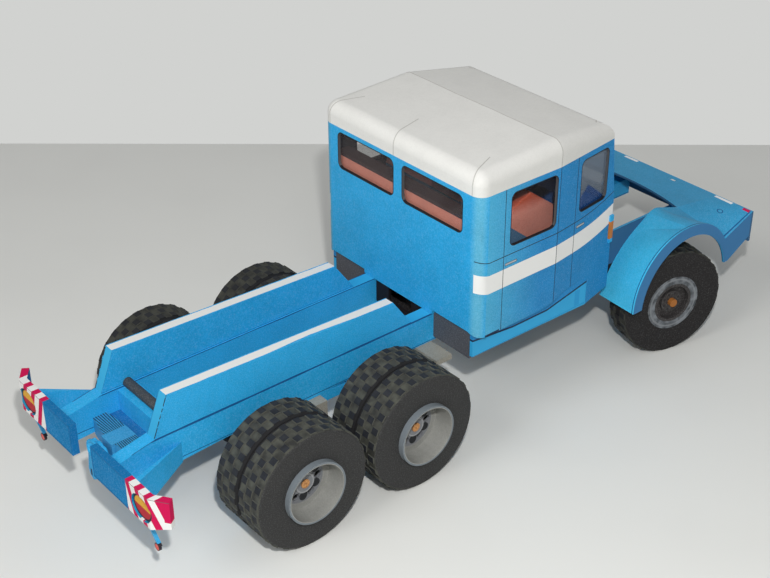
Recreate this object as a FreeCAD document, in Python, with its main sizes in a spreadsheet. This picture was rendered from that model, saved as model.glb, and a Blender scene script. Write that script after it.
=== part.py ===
import FreeCAD, Part
import math
import os
import Sketcher

# A hand-made paper model of a heavy three-axle semi truck tractor, about 1:32.
# Millimetres. +X points forward, +Y to the left and +Z up. The origin is on the
# floor below the middle of the model's length and width.

# Driving dimensions. The chassis' tail is measured back from the rear axle, the cab and
# the nose from the front axle, and heights from the floor unless the name says a rise.
SIZES = {
    # wheels and axles
    "tyre_radius": 20.5,
    "tyre_width": 10.5,
    "tyre_edge": 1.0,
    "dual_gap": 0.8,
    "rim_radius": 10.6,
    "rim_wall": 0.8,
    "rim_proud": 2.0,
    "disc_depth": 7.5,
    "disc_thick": 1.0,
    "disc_hole_radius": 1.3,
    "disc_hole_circle": 5.6,
    "disc_hole_count": 6,
    "hub_radius": 3.4,
    "hub_rise": 1.2,
    "dowel_radius": 1.5,
    "dowel_proud": 1.6,
    "running_gap": 0.05,
    "side_gap": 0.4,
    "axle_spacing": 43.7,
    "wheelbase": 123.0,
    "dual_inner": 24.4,
    "axle_tube_radius": 2.9,
    "axle_box_radius": 5.5,
    "axle_box_reach": 5.0,
    # steering
    "steer_angle": -15.0,
    "kingpin_side": 33.5,
    "kingpin_radius": 0.8,
    "kingpin_offset": 7.0,
    "knuckle_radius": 2.4,
    "sleeve_radius": 2.1,
    "knuckle_height": 7.0,
    "ear_thick": 1.4,
    "ear_reach": 2.6,
    "front_beam_reach": 2.6,
    "front_beam_height": 4.8,
    "arm_length": 10.0,
    "arm_thick": 1.2,
    "arm_reach": 1.4,
    "arm_pin_radius": 0.6,
    "arm_pin_length": 1.6,
    "tie_rod_reach": 1.0,
    "tie_rod_thick": 1.2,
    "front_hub_radius": 6.6,
    "front_hub_depth": 2.2,
    "front_cap_radius": 4.2,
    "front_cap_rise": 1.1,
    # frame
    "frame_inner": 12.6,
    "frame_outer": 17.4,
    "frame_top": 39.6,
    "frame_bottom": 29.0,
    "frame_front_top": 35.6,
    "frame_rear_bottom": 27.0,
    "frame_rise_back": 9.0,
    "arm_top_end": 37.0,
    "frame_drop_back": 29.3,
    # deck rails
    "rail_inner": 13.2,
    "rail_outer": 17.2,
    "rail_rear_top": 53.0,
    "rail_front_top": 50.2,
    "rail_rear_foot": 35.3,
    "rail_rear_head": 29.9,
    "rail_cab_gap": 8.7,
    "rail_front_lean": 7.6,
    # rear crossmember, roller, step and coupling, as distances behind the rear axle
    "cross_rear": 30.0,
    "cross_front": 23.0,
    "cross_top": 38.8,
    "cross_bottom": 27.6,
    "roller_radius": 1.6,
    "roller_back": 26.4,
    "step_front": 33.7,
    "step_front_end": 34.6,
    "step_rear": 41.2,
    "step_rear_end": 39.4,
    "step_band_rear": 42.1,
    "step_band_side": 3.0,
    "step_top": 32.8,
    "step_bottom": 26.8,
    "neck_bottom": 24.0,
    "coupling_height": 28.0,
    "coupling_front": 43.9,
    "coupling_thick": 1.4,
    "coupling_side": 8.0,
    "coupling_bottom": 15.8,
    "coupling_corner": 2.2,
    "coupling_hole_radius": 0.9,
    "coupling_hole_side": 5.8,
    "coupling_hole_height": 19.0,
    "horn_radius": 5.5,
    "horn_bore": 3.0,
    "horn_proud": 1.0,
    "horn_bore_depth": 5.0,
    # rear boards
    "rear_overhang": 50.5,
    "board_thick": 2.4,
    "board_inner": 6.2,
    "board_bend": 37.6,
    "board_top": 38.5,
    "board_bottom": 27.5,
    "board_tip_side": 43.0,
    "board_tip_forward": 3.7,
    "board_tip_end": 2.0,
    "board_tip_turn": 1.4,
    "board_tip_rise": 1.6,
    "brace_front": 26.7,
    "brace_front_top": 34.8,
    "brace_side": 29.5,
    "brace_thick": 2.0,
    "lamp_side": 33.3,
    "lamp_height": 32.6,
    "lamp_reach": 4.8,
    "lamp_rise": 3.9,
    "lamp_recess": 1.0,
    "lamp_thick": 0.4,
    "post_side": 34.0,
    "post_thick": 1.1,
    "post_back": 49.5,
    "post_foot_back": 46.8,
    "post_foot": 17.0,
    "reflector_radius": 1.3,
    "reflector_thick": 0.9,
    # bogie
    "spring_end_thick": 0.9,
    "spring_seat_reach": 4.0,
    "bogie_box_reach": 5.0,
    "bracket_reach": 2.9,
    "bracket_side": 21.2,
    "bracket_top": 28.2,
    "bracket_bottom": 22.5,
    "carrier_length": 6.8,
    "carrier_side": 27.8,
    "carrier_thick": 2.0,
    # cab, as distances behind the front axle
    "cab_rear": 95.0,
    "cab_half": 39.0,
    "cab_corner": 4.0,
    "cab_pillar": 59.7,
    "cab_front": 28.3,
    "cab_front_half": 34.8,
    "cab_screen_back": 2.8,
    "cab_wall": 1.0,
    "cab_eaves": 90.5,
    "cab_belt": 66.6,
    "cab_rear_foot": 41.2,
    "cab_apron_foot": 39.7,
    "cab_apron_half": 17.8,
    "cab_side_foot": 39.4,
    "foot_rise_rear": 64.0,
    "foot_rise_front": 53.5,
    "foot_bend": 30.0,
    "cab_front_foot": 32.6,
    "sill_front": 41.3,
    "sill_rear_foot": 31.6,
    "sill_front_foot": 30.8,
    "sill_half": 36.5,
    "sill_thick": 1.3,
    "floor_height": 42.2,
    "floor_thick": 1.2,
    "floor_gap": 0.2,
    "panel_half": 35.0,
    "panel_foot": 30.4,
    "panel_thick": 1.2,
    "panel_opening_half": 6.0,
    "panel_opening_foot": 33.0,
    # windows
    "window_corner": 2.0,
    "rear_window_foot": 75.7,
    "rear_window_head": 88.7,
    "rear_window_inner": 2.3,
    "rear_window_outer": 31.0,
    "door_window_foot": 69.6,
    "door_window_head": 88.2,
    "rear_door_window_rear": 81.3,
    "rear_door_window_front": 61.1,
    "front_door_window_rear": 48.3,
    "front_door_window_front": 33.5,
    "screen_foot": 70.5,
    "screen_head": 88.0,
    "screen_half": 31.0,
    "film_thick": 0.3,
    # roof
    "roof_rear_rise": 7.5,
    "roof_ridge_rise": 8.9,
    "roof_front_rise": 4.9,
    "roof_wall": 1.0,
    # inside
    "seat_height": 16.0,
    "seat_depth": 14.0,
    "seat_half": 12.0,
    "seat_back_height": 37.0,
    "seat_back_thick": 5.0,
    "bench_depth": 17.0,
    "bench_half": 34.0,
    "bench_rear_gap": 0.8,
    "front_seat_rear": 68.7,
    "front_seat_side": 19.0,
    "dash_depth": 9.0,
    "dash_foot": 13.0,
    "dash_top": 22.0,
    # lamps on the cab
    "turn_lamp_foot": 50.8,
    "turn_lamp_head": 61.2,
    "turn_lamp_width": 1.8,
    "turn_lamp_thick": 0.8,
    # front, as distances from the front axle
    "nose_reach": 37.7,
    "front_sheet": 0.9,
    "nose_top": 44.0,
    "nose_half": 46.0,
    "nose_inner": 29.0,
    "plate_cut": 19.3,
    "fender_foot": 24.8,
    "fender_rear": 25.7,
    "fender_top": 50.3,
    "fender_bend": 25.0,
    "fender_front_corner": 14.0,
    "fender_valley": 22.3,
    "fender_valley_height": 38.0,
    "ledge_rear": 24.7,
    "ledge_knee_back": 19.0,
    "ledge_knee_height": 39.2,
    "ledge_knee_bend": 38.0,
    "ledge_crest": 0.8,
    "ledge_crest_height": 51.4,
    "ledge_crest_bend": 6.0,
    "ledge_valley": 14.3,
    "ledge_valley_height": 46.9,
    "arch_radius": 22.6,
    "arch_forward": 1.3,
    "arch_height": 23.3,
    "gusset_forward": 25.5,
    "gusset_foot": 27.6,
    "gusset_front_foot": 34.0,
    "apron_foot": 31.8,
    "inner_wall_top": 49.3,
    "inner_wall_foot": 36.0,
    "overrun": 5.0,
}

doc = FreeCAD.newDocument("tractor")
sheet = doc.addObject("Spreadsheet::Sheet", "sizes")
for row, (alias, number) in enumerate(SIZES.items(), start=1):
    sheet.set(f"A{row}", alias)
    sheet.set(f"B{row}", str(number))
    sheet.setAlias(f"B{row}", alias)
doc.recompute()


class Size:
    """A value worked out from the sheet: its expression, and its number for a sketch's first guess."""

    def __init__(self, text, number):
        self.text = text
        self.number = number

    def join(self, sign, other, number):
        return Size(f"({self.text} {sign} {as_size(other).text})", number)

    def __add__(self, other):
        return self.join("+", other, self.number + as_size(other).number)

    def __sub__(self, other):
        return self.join("-", other, self.number - as_size(other).number)

    def __mul__(self, other):
        return self.join("*", other, self.number * as_size(other).number)

    def __truediv__(self, other):
        return self.join("/", other, self.number / as_size(other).number)

    def __neg__(self):
        return Size(f"(-1 * {self.text})", -self.number)


def as_size(value):
    return value if isinstance(value, Size) else Size(str(value), float(value))


class Sheet:
    """Gives each cell of the sheet by its alias."""

    def __getattr__(self, alias):
        return Size(f"sizes.{alias}", SIZES[alias])


s = Sheet()
ZERO = as_size(0)
HALF = 0.5
ROUND_SHARE = 0.9
FULL_TURN = 360
QUARTER_TURN = 90
ORIGIN = -1
EDGE_POINTS = ["edge", "start", "end", "centre"]
START, END, CENTRE = (EDGE_POINTS.index(point) for point in ("start", "end", "centre"))


def sine(angle):
    return Size(f"sin({angle.text})", math.sin(math.radians(angle.number)))


def cosine(angle):
    return Size(f"cos({angle.text})", math.cos(math.radians(angle.number)))


# The axles' places in the part's frame, so that the model's length is centred on the origin.
LENGTH = s.rear_overhang + s.axle_spacing + s.wheelbase + s.nose_reach
REAR_AXLE = s.rear_overhang - LENGTH * HALF
MID_AXLE = REAR_AXLE + s.axle_spacing
FRONT_AXLE = MID_AXLE + s.wheelbase
SIDES = {"left": 1, "right": -1}


def behind(size):
    """A station behind the rear axle."""
    return REAR_AXLE - size


def aft(size):
    """A station behind the front axle."""
    return FRONT_AXLE - size


def fore(size):
    """A station ahead of the front axle."""
    return FRONT_AXLE + size


def span(side, inner, outer):
    """The low and high of a range of widths on one side of the truck."""
    return (inner, outer) if side > 0 else (-outer, -inner)


def bind(thing, name, value):
    value = as_size(value)
    thing.setExpression(name, value.text)


# Ways of making a piece

def box(name, x, y, z):
    """A plain block between the low and high of each axis."""
    block = doc.addObject("Part::Box", name)
    for prop, (low, high) in zip(("Length", "Width", "Height"), (x, y, z)):
        bind(block, prop, as_size(high) - low)
    for prop, (low, _) in zip("xyz", (x, y, z)):
        bind(block, f"Placement.Base.{prop}", low)
    return block


def rod(name, radius, low, high, axis, centre):
    """A round bar along x, y or z between low and high, with its axis at centre."""
    bar = doc.addObject("Part::Cylinder", name)
    turn = {"x": FreeCAD.Rotation(FreeCAD.Vector(0, 1, 0), QUARTER_TURN),
            "y": FreeCAD.Rotation(FreeCAD.Vector(1, 0, 0), -QUARTER_TURN), "z": FreeCAD.Rotation()}[axis]
    bar.Placement = FreeCAD.Placement(FreeCAD.Vector(), turn)
    bind(bar, "Radius", radius)
    bind(bar, "Height", as_size(high) - low)
    places = dict(zip([letter for letter in "xyz" if letter != axis], centre))
    places[axis] = low
    for letter, place in places.items():
        bind(bar, f"Placement.Base.{letter}", place)
    return bar


def fuse(name, pieces):
    joined = doc.addObject("Part::MultiFuse", name)
    joined.Shapes = pieces
    return joined


def cut(name, base, tool):
    result = doc.addObject("Part::Cut", name)
    result.Base = base
    result.Tool = tool
    return result


def group(name, pieces):
    """Like pieces that don't touch, as one sub-part."""
    joined = doc.addObject("Part::Compound", name)
    joined.Links = pieces
    return joined


def new_body(name):
    return doc.addObject("PartDesign::Body", name)


def sketch_on(body, plane, offset):
    """An empty sketch on one of the body's own planes, moved along the plane's normal."""
    sketch = body.newObject("Sketcher::SketchObject", f"{body.Name}_outline")
    origin_plane = [item for item in body.Origin.OriginFeatures if item.Role == f"{plane}_Plane"][0]
    sketch.AttachmentSupport = [(origin_plane, "")]
    sketch.MapMode = "FlatFace"
    bind(sketch, "AttachmentOffset.Base.z", offset)
    return sketch


def pin_point(sketch, geometry, position, across, up):
    """Hold a point of the sketch at the sheet's values."""
    for kind, value in (("DistanceX", across), ("DistanceY", up)):
        value = as_size(value)
        held = Sketcher.Constraint(kind, ORIGIN, START, geometry, position, value.number)
        index = sketch.addConstraint(held)
        bind(sketch, f"Constraints[{index}]", value)


def draw(sketch, corners):
    """A closed outline through corners (across, up), with a radius as a third value where one is round."""
    count = len(corners)
    places = [FreeCAD.Vector(as_size(c[0]).number, as_size(c[1]).number, 0) for c in corners]
    starts, ends, turns = [], [], []
    for index, corner in enumerate(corners):
        here = places[index]
        back = (places[index - 1] - here).normalize()
        onward = (places[(index + 1) % count] - here).normalize()
        reach = 0
        if corner[2:]:
            half_angle = back.getAngle(onward) * HALF
            reach = as_size(corner[2]).number / math.tan(half_angle)
        ends.append(here + back * reach)
        starts.append(here + onward * reach)
        turns.append(back.cross(onward).z)
    lines = []
    for index in range(count):
        edge = Part.LineSegment(starts[index], ends[(index + 1) % count])
        lines.append(sketch.addGeometry(edge, False))
    for index, corner in enumerate(corners):
        before, after = lines[index - 1], lines[index]
        if not corner[2:]:
            sketch.addConstraint(Sketcher.Constraint("Coincident", before, END, after, START))
            pin_point(sketch, after, START, corner[0], corner[1])
            continue
        radius = as_size(corner[2])
        here = places[index]
        inward = ((ends[index] - here).normalize() + (starts[index] - here).normalize()).normalize()
        reach = (ends[index] - here).Length
        centre = here + inward * math.hypot(reach, radius.number)
        middle = centre - inward * radius.number
        arc = sketch.addGeometry(Part.Arc(ends[index], middle, starts[index]), False)
        first, second = (END, START) if turns[index] > 0 else (START, END)
        sketch.addConstraint(Sketcher.Constraint("Tangent", before, END, arc, first))
        sketch.addConstraint(Sketcher.Constraint("Tangent", arc, second, after, START))
        index_radius = sketch.addConstraint(Sketcher.Constraint("Radius", arc, radius.number))
        bind(sketch, f"Constraints[{index_radius}]", radius)
        corner_point = sketch.addGeometry(Part.Point(here), True)
        for line in (before, after):
            sketch.addConstraint(Sketcher.Constraint("PointOnObject", corner_point, START, line))
        pin_point(sketch, corner_point, START, corner[0], corner[1])


def ring(sketch, centre, radius):
    """A circle in a sketch."""
    number = as_size(radius).number
    place = FreeCAD.Vector(as_size(centre[0]).number, as_size(centre[1]).number, 0)
    circle = sketch.addGeometry(Part.Circle(place, FreeCAD.Vector(0, 0, 1), number), False)
    index = sketch.addConstraint(Sketcher.Constraint("Radius", circle, number))
    bind(sketch, f"Constraints[{index}]", radius)
    pin_point(sketch, circle, CENTRE, centre[0], centre[1])


def pad(body, plane, corners, low, high):
    """Thicken an outline between low and high along the plane's axis."""
    low, high = as_size(low), as_size(high)
    offset = -high if plane == "XZ" else low
    sketch = sketch_on(body, plane, offset)
    draw(sketch, corners)
    feature = body.newObject("PartDesign::Pad", f"{body.Name}_pad")
    feature.Profile = sketch
    bind(feature, "Length", high - low)
    return feature


def pocket(body, plane, corners):
    """Cut an outline right through the body along the plane's axis."""
    sketch = sketch_on(body, plane, ZERO)
    draw(sketch, corners)
    feature = body.newObject("PartDesign::Pocket", f"{body.Name}_pocket")
    feature.Profile = sketch
    feature.Type = "ThroughAll"
    feature.Midplane = True
    return feature


def recess(body, plane, corners, bottom, depth):
    """Sink an outline into the body to a flat bottom, cutting back along the plane's axis."""
    sketch = sketch_on(body, plane, bottom)
    draw(sketch, corners)
    feature = body.newObject("PartDesign::Pocket", f"{body.Name}_recess")
    feature.Profile = sketch
    bind(feature, "Length", depth)
    return feature


def lofted(body, sections):
    """Join upright sections, each given as (place along Y, outline), with straight rules between them."""
    sketches = []
    for place, corners in sections:
        sketch = sketch_on(body, "XZ", -place)
        draw(sketch, corners)
        sketches.append(sketch)
    feature = body.newObject("PartDesign::AdditiveLoft", f"{body.Name}_loft")
    feature.Profile = sketches[0]
    feature.Sections = sketches[1:]
    feature.Ruled = True
    return feature


def turned(body, corners):
    """Revolve an outline of (along Y, out from the axis) about the body's own Y axis."""
    sketch = sketch_on(body, "YZ", ZERO)
    draw(sketch, corners)
    feature = body.newObject("PartDesign::Revolution", f"{body.Name}_turn")
    feature.Profile = sketch
    feature.ReferenceAxis = (sketch, ["H_Axis"])
    feature.Angle = FULL_TURN
    return feature


def oblong(low, high, foot, head, radius):
    """The corners of an upright rectangle with round corners."""
    return [(low, foot, radius), (high, foot, radius), (high, head, radius), (low, head, radius)]


def place(piece, x, y, z, turn=None):
    for letter, value in zip("xyz", (x, y, z)):
        bind(piece, f"Placement.Base.{letter}", value)
    if turn is not None:
        bind(piece, "Placement.Rotation.Angle", turn)
    return piece


finished = []


def keep(piece, label):
    """Name a finished sub-part."""
    piece.Label = label
    finished.append(piece)
    return piece


# Frame

def frame_side(side, name):
    """One long member: a box girder whose rear arm carries the board and whose front carries the nose."""
    body = new_body(f"frame_side_{name}")
    low, high = span(side, s.frame_inner, s.frame_outer)
    tail = behind(s.rear_overhang - s.board_thick)
    front = fore(s.nose_reach - s.front_sheet)
    drop = aft(s.frame_drop_back)
    corners = [(tail, s.frame_rear_bottom), (behind(s.frame_rise_back), s.frame_bottom),
               (front, s.frame_bottom), (front, s.frame_front_top), (drop, s.frame_front_top),
               (drop, s.frame_top), (behind(s.rail_rear_foot), s.frame_top), (tail, s.arm_top_end)]
    pad(body, "XZ", corners, low, high)
    return keep(body, f"frame_side_{name}")


def deck_rail(side, name):
    """One tall deck rail with sloped ends, standing on the frame member."""
    body = new_body(f"deck_rail_{name}")
    low, high = span(side, s.rail_inner, s.rail_outer)
    front = aft(s.cab_rear + s.rail_cab_gap)
    corners = [(behind(s.rail_rear_foot), s.frame_top), (front, s.frame_top),
               (front - s.rail_front_lean, s.rail_front_top), (behind(s.rail_rear_head), s.rail_rear_top)]
    pad(body, "XZ", corners, low, high)
    return keep(body, f"deck_rail_{name}")


for name, side in SIDES.items():
    frame_side(side, name)
    deck_rail(side, name)

inside = (-s.frame_inner, s.frame_inner)
keep(box("rear_crossmember", (behind(s.cross_rear), behind(s.cross_front)), inside,
         (s.cross_bottom, s.cross_top)), "rear_crossmember")
keep(rod("deck_roller", s.roller_radius, -s.frame_inner, s.frame_inner, "y",
         (behind(s.roller_back), s.cross_top + s.roller_radius)), "deck_roller")

# Tow step and coupling

def tow_step():
    """The step between the arms: a block that narrows to both sides, with a middle band reaching back."""
    body = new_body("tow_step")
    left = [(behind(s.step_front), s.step_band_side), (behind(s.step_front_end), s.frame_inner),
            (behind(s.step_rear_end), s.frame_inner), (behind(s.step_rear), s.step_band_side),
            (behind(s.step_band_rear), s.step_band_side)]
    right = [(along, -across) for along, across in reversed(left)]
    pad(body, "XY", left + right, s.step_bottom, s.step_top)
    return keep(body, "tow_step")


def tow_coupling():
    """A shield with a round head and cropped feet, a short horn round its bore, and a neck to the step."""
    shield = new_body("coupling_shield")
    front, rear = behind(s.coupling_front), behind(s.coupling_front + s.coupling_thick)
    head, crop = s.coupling_side - s.running_gap, s.coupling_side - s.coupling_corner
    top = s.coupling_height + s.coupling_side
    foot = s.coupling_bottom + s.coupling_corner
    pad(shield, "YZ", [(-s.coupling_side, foot), (-crop, s.coupling_bottom), (crop, s.coupling_bottom),
                       (s.coupling_side, foot), (s.coupling_side, top, head), (-s.coupling_side, top, head)],
        rear, front)
    horn_end = rear - s.horn_proud
    axis = (ZERO, s.coupling_height)
    horn = rod("coupling_horn", s.horn_radius, horn_end, rear, "x", axis)
    neck = box("coupling_neck", (front, behind(s.step_band_rear)), (-s.step_band_side, s.step_band_side),
               (s.neck_bottom, s.step_top))
    holes = [rod("coupling_bore", s.horn_bore, horn_end, horn_end + s.horn_bore_depth, "x", axis)]
    for name, side in SIDES.items():
        holes.append(rod(f"coupling_hole_{name}", s.coupling_hole_radius, horn_end, front, "x",
                         (s.coupling_hole_side * side, s.coupling_hole_height)))
    solid = fuse("coupling_solid", [shield, horn, neck])
    return keep(cut("tow_coupling_cut", solid, fuse("coupling_holes", holes)), "tow_coupling")


tow_step()
tow_coupling()


# Rear boards with their braces, lamps and reflectors

LAMP_SEAT = s.rear_overhang - s.lamp_recess


def lamp_outline(side, gap):
    """The outline of the lamp, or with a gap of its recess, as seen from behind."""
    reach, rise = s.lamp_reach + gap, s.lamp_rise + gap
    return oblong(s.lamp_side * side - reach, s.lamp_side * side + reach, s.lamp_height - rise,
                  s.lamp_height + rise, rise - s.running_gap)


def rear_board(side, name):
    """Half of the upright rear board: a thick sheet whose outer end turns forward, sunk round the lamp."""
    body = new_body(f"rear_board_{name}")
    rear, front = behind(s.rear_overhang), behind(s.rear_overhang - s.board_thick)
    tip_rear = rear + s.board_tip_forward
    corners = [(rear, s.board_inner * side), (front, s.board_inner * side),
               (front, (s.board_bend - s.board_tip_turn * HALF) * side),
               (tip_rear + s.board_tip_end, (s.board_tip_side - s.board_tip_turn) * side),
               (tip_rear, s.board_tip_side * side), (rear, s.board_bend * side)]
    pad(body, "XY", corners, s.board_bottom, s.board_top)
    far, low = (s.board_tip_side + s.overrun) * side, s.board_bottom - s.overrun
    raised = s.board_bottom + s.board_tip_rise
    pocket(body, "YZ", [(s.board_bend * side, s.board_bottom), (s.board_tip_side * side, raised),
                        (far, raised), (far, low), (s.board_bend * side, low)])
    depth = s.lamp_recess + s.board_thick
    recess(body, "YZ", lamp_outline(side, s.side_gap * HALF), behind(LAMP_SEAT), depth)
    return keep(body, f"rear_board_{name}")


def board_brace(side, name):
    """The upright wedge that props the board from the frame's side, its top edge rising to the board's."""
    body = new_body(f"board_brace_{name}")
    rear, front = behind(s.rear_overhang - s.board_thick), behind(s.brace_front)
    pad(body, "XY", [(front, s.frame_outer * side), (rear, s.brace_side * side),
                     (rear, (s.brace_side - s.brace_thick) * side)], s.board_bottom, s.board_top)
    pocket(body, "XZ", [(front + s.overrun, s.brace_front_top), (front + s.overrun, s.board_top + s.overrun),
                        (rear, s.board_top + s.overrun), (rear, s.board_top), (front, s.brace_front_top)])
    return body


def rear_lamp(side, name):
    """The long lamp at the bottom of its recess in the board."""
    body = new_body(f"rear_lamp_{name}")
    seat = behind(LAMP_SEAT)
    pad(body, "YZ", lamp_outline(side, ZERO), seat - s.lamp_thick, seat)
    return body


def reflector(side, name):
    """A leaning post below the board with a small round reflector facing the rear."""
    body = new_body(f"reflector_post_{name}")
    low, high = span(side, s.post_side - s.post_thick * HALF, s.post_side + s.post_thick * HALF)
    head, foot = behind(s.post_back), behind(s.post_foot_back)
    pad(body, "XZ", [(head, s.board_bottom), (foot, s.post_foot), (foot + s.post_thick, s.post_foot),
                     (head + s.post_thick, s.board_bottom)], low, high)
    disc = rod(f"reflector_disc_{name}", s.reflector_radius, foot - s.reflector_thick * HALF,
               foot + s.reflector_thick * HALF, "x", (s.post_side * side, s.post_foot))
    return fuse(f"reflector_fuse_{name}", [body, disc])


for name, side in SIDES.items():
    rear_board(side, name)
PAIRS = {"board_braces": board_brace, "rear_lamps": rear_lamp, "rear_reflectors": reflector}
for label, maker in PAIRS.items():
    keep(group(f"{label}_group", [maker(side, name) for name, side in SIDES.items()]), label)


# Rear wheels and axles

DUAL_OUTER = s.dual_inner + s.tyre_width + s.dual_gap + s.tyre_width
DUAL_DISC = DUAL_OUTER + s.rim_proud - s.disc_depth


def dual_tyres(axle, station, side, name):
    """Two like tyres side by side on one drum."""
    rings = []
    for number, inner in enumerate((s.dual_inner, s.dual_inner + s.tyre_width + s.dual_gap)):
        body = new_body(f"{axle}_tyre_{name}_{number}")
        outer = inner + s.tyre_width
        near, far = inner * side, outer * side
        edge = s.tyre_edge * side
        turned(body, [(near, s.rim_radius), (near, s.tyre_radius - s.tyre_edge), (near + edge, s.tyre_radius),
                      (far - edge, s.tyre_radius), (far, s.tyre_radius - s.tyre_edge), (far, s.rim_radius)])
        place(body, station, ZERO, s.tyre_radius)
        rings.append(body)
    return keep(group(f"{axle}_tyre_pair_{name}", rings), f"{axle}_tyres_{name}")


def dual_rim(axle, station, side, name):
    """The drum under the two tyres, with a deep disc and its hand holes."""
    body = new_body(f"{axle}_rim_{name}")
    inner = s.dual_inner
    outer = DUAL_OUTER + s.rim_proud
    disc_out = DUAL_DISC
    disc_in = disc_out - s.disc_thick
    bore = s.rim_radius - s.rim_wall
    corners = [(inner, s.dowel_radius), (inner, s.rim_radius), (outer, s.rim_radius), (outer, bore),
               (disc_out, bore), (disc_out, s.hub_radius), (disc_out + s.hub_rise, s.hub_radius),
               (disc_out + s.hub_rise, s.dowel_radius), (disc_in, s.dowel_radius), (disc_in, bore),
               (inner + s.disc_thick, bore), (inner + s.disc_thick, s.dowel_radius)]
    turned(body, [(along * side, out) for along, out in corners])
    holes = sketch_on(body, "XZ", ZERO)
    ring(holes, (s.disc_hole_circle, ZERO), s.disc_hole_radius)
    hole = body.newObject("PartDesign::Pocket", f"{body.Name}_hole")
    hole.Profile = holes
    hole.Type = "ThroughAll"
    hole.Midplane = True
    pattern = body.newObject("PartDesign::PolarPattern", f"{body.Name}_holes")
    pattern.Originals = [hole]
    pattern.Axis = (holes, ["N_Axis"])
    pattern.Angle = FULL_TURN
    bind(pattern, "Occurrences", s.disc_hole_count)
    body.Tip = pattern
    place(body, station, ZERO, s.tyre_radius)
    return keep(body, f"{axle}_rim_{name}")


def axle_set(axle, station):
    for name, side in SIDES.items():
        dual_tyres(axle, station, side, name)
        dual_rim(axle, station, side, name)
    reach = DUAL_DISC + s.dowel_proud
    keep(rod(f"{axle}_dowel", s.dowel_radius, -reach, reach, "y", (station, s.tyre_radius)), f"{axle}_dowel")
    end = s.dual_inner - s.side_gap
    tube = rod(f"{axle}_tube", s.axle_tube_radius, -end, end, "y", (station, s.tyre_radius))
    middle = rod(f"{axle}_box", s.axle_box_radius, -s.axle_box_reach, s.axle_box_reach, "y",
                 (station, s.tyre_radius))
    seats = [box(f"{axle}_seat_{name}", (station - s.spring_seat_reach, station + s.spring_seat_reach),
                 span(side, s.frame_inner, s.frame_outer),
                 (s.tyre_radius, s.tyre_radius + s.axle_tube_radius + s.ear_thick))
             for name, side in SIDES.items()]
    bore = rod(f"{axle}_bore", s.dowel_radius + s.running_gap, -end - s.overrun, end + s.overrun, "y",
               (station, s.tyre_radius))
    solid = fuse(f"{axle}_axle_solid", [tube, middle] + seats)
    keep(cut(f"{axle}_axle_cut", solid, bore), f"{axle}_axle_beam")


axle_set("rear", REAR_AXLE)
axle_set("mid", MID_AXLE)


def bogie_spring(side, name):
    """The spring that rests on both axle beams and carries the frame at its middle."""
    low, high = span(side, s.frame_inner, s.frame_outer)
    seat_top = s.tyre_radius + s.axle_tube_radius + s.ear_thick
    middle = (REAR_AXLE + MID_AXLE) * HALF
    body = new_body(f"bogie_spring_{name}")
    pad(body, "XZ", [
        (REAR_AXLE - s.spring_seat_reach, seat_top), (MID_AXLE + s.spring_seat_reach, seat_top),
        (MID_AXLE + s.spring_seat_reach, seat_top + s.spring_end_thick),
        (middle + s.bogie_box_reach, s.frame_bottom), (middle - s.bogie_box_reach, s.frame_bottom),
        (REAR_AXLE - s.spring_seat_reach, seat_top + s.spring_end_thick)], low, high)
    return keep(body, f"bogie_spring_{name}")


for name, side in SIDES.items():
    bogie_spring(side, name)


def chassis_boxes():
    """The bracket at each spring's middle, and the flat carrier below the frame just behind the cab."""
    middle = (REAR_AXLE + MID_AXLE) * HALF
    boxes = []
    for name, side in SIDES.items():
        boxes.append(box(f"bogie_bracket_{name}", (middle - s.bracket_reach, middle + s.bracket_reach),
                         span(side, s.frame_outer, s.bracket_side), (s.bracket_bottom, s.bracket_top)))
        boxes.append(box(f"side_carrier_{name}", (aft(s.cab_rear + s.carrier_length), aft(s.cab_rear)),
                         span(side, s.frame_inner, s.carrier_side),
                         (s.frame_bottom - s.carrier_thick, s.frame_bottom)))
    return keep(group("chassis_box_set", boxes), "chassis_boxes")


chassis_boxes()


# Front axle and steering

BEAM_LOW = s.tyre_radius - s.front_beam_height * HALF
BEAM_HIGH = s.tyre_radius + s.front_beam_height * HALF
KNUCKLE_LOW = s.tyre_radius - s.knuckle_height * HALF
KNUCKLE_HIGH = s.tyre_radius + s.knuckle_height * HALF
EAR_GAP = s.side_gap * HALF


def front_beam():
    """The front axle: a beam with a fork and a fixed kingpin at each end, hung below the frame on blocks."""
    reach = s.kingpin_side - s.knuckle_radius - s.side_gap
    across = (FRONT_AXLE - s.front_beam_reach, FRONT_AXLE + s.front_beam_reach)
    pieces = [box("front_beam_bar", across, (-reach, reach), (BEAM_LOW, BEAM_HIGH))]
    low_ear = (KNUCKLE_LOW - EAR_GAP - s.ear_thick, KNUCKLE_LOW - EAR_GAP)
    high_ear = (KNUCKLE_HIGH + EAR_GAP, KNUCKLE_HIGH + EAR_GAP + s.ear_thick)
    for name, side in SIDES.items():
        web = span(side, reach - s.ear_thick, reach)
        pieces.append(box(f"front_fork_web_{name}", across, web, (low_ear[0], high_ear[1])))
        for place_name, ear in (("low", low_ear), ("high", high_ear)):
            pieces.append(box(f"front_ear_{place_name}_{name}", across,
                              span(side, reach - s.ear_thick, s.kingpin_side + s.ear_reach), ear))
        pieces.append(rod(f"kingpin_{name}", s.kingpin_radius, low_ear[0], high_ear[1], "z",
                          (FRONT_AXLE, s.kingpin_side * side)))
        pieces.append(box(f"front_block_{name}", across, span(side, s.frame_inner, s.frame_outer),
                          (BEAM_HIGH, s.frame_bottom)))
    return keep(fuse("front_axle_fuse", pieces), "front_axle_beam")


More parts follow.
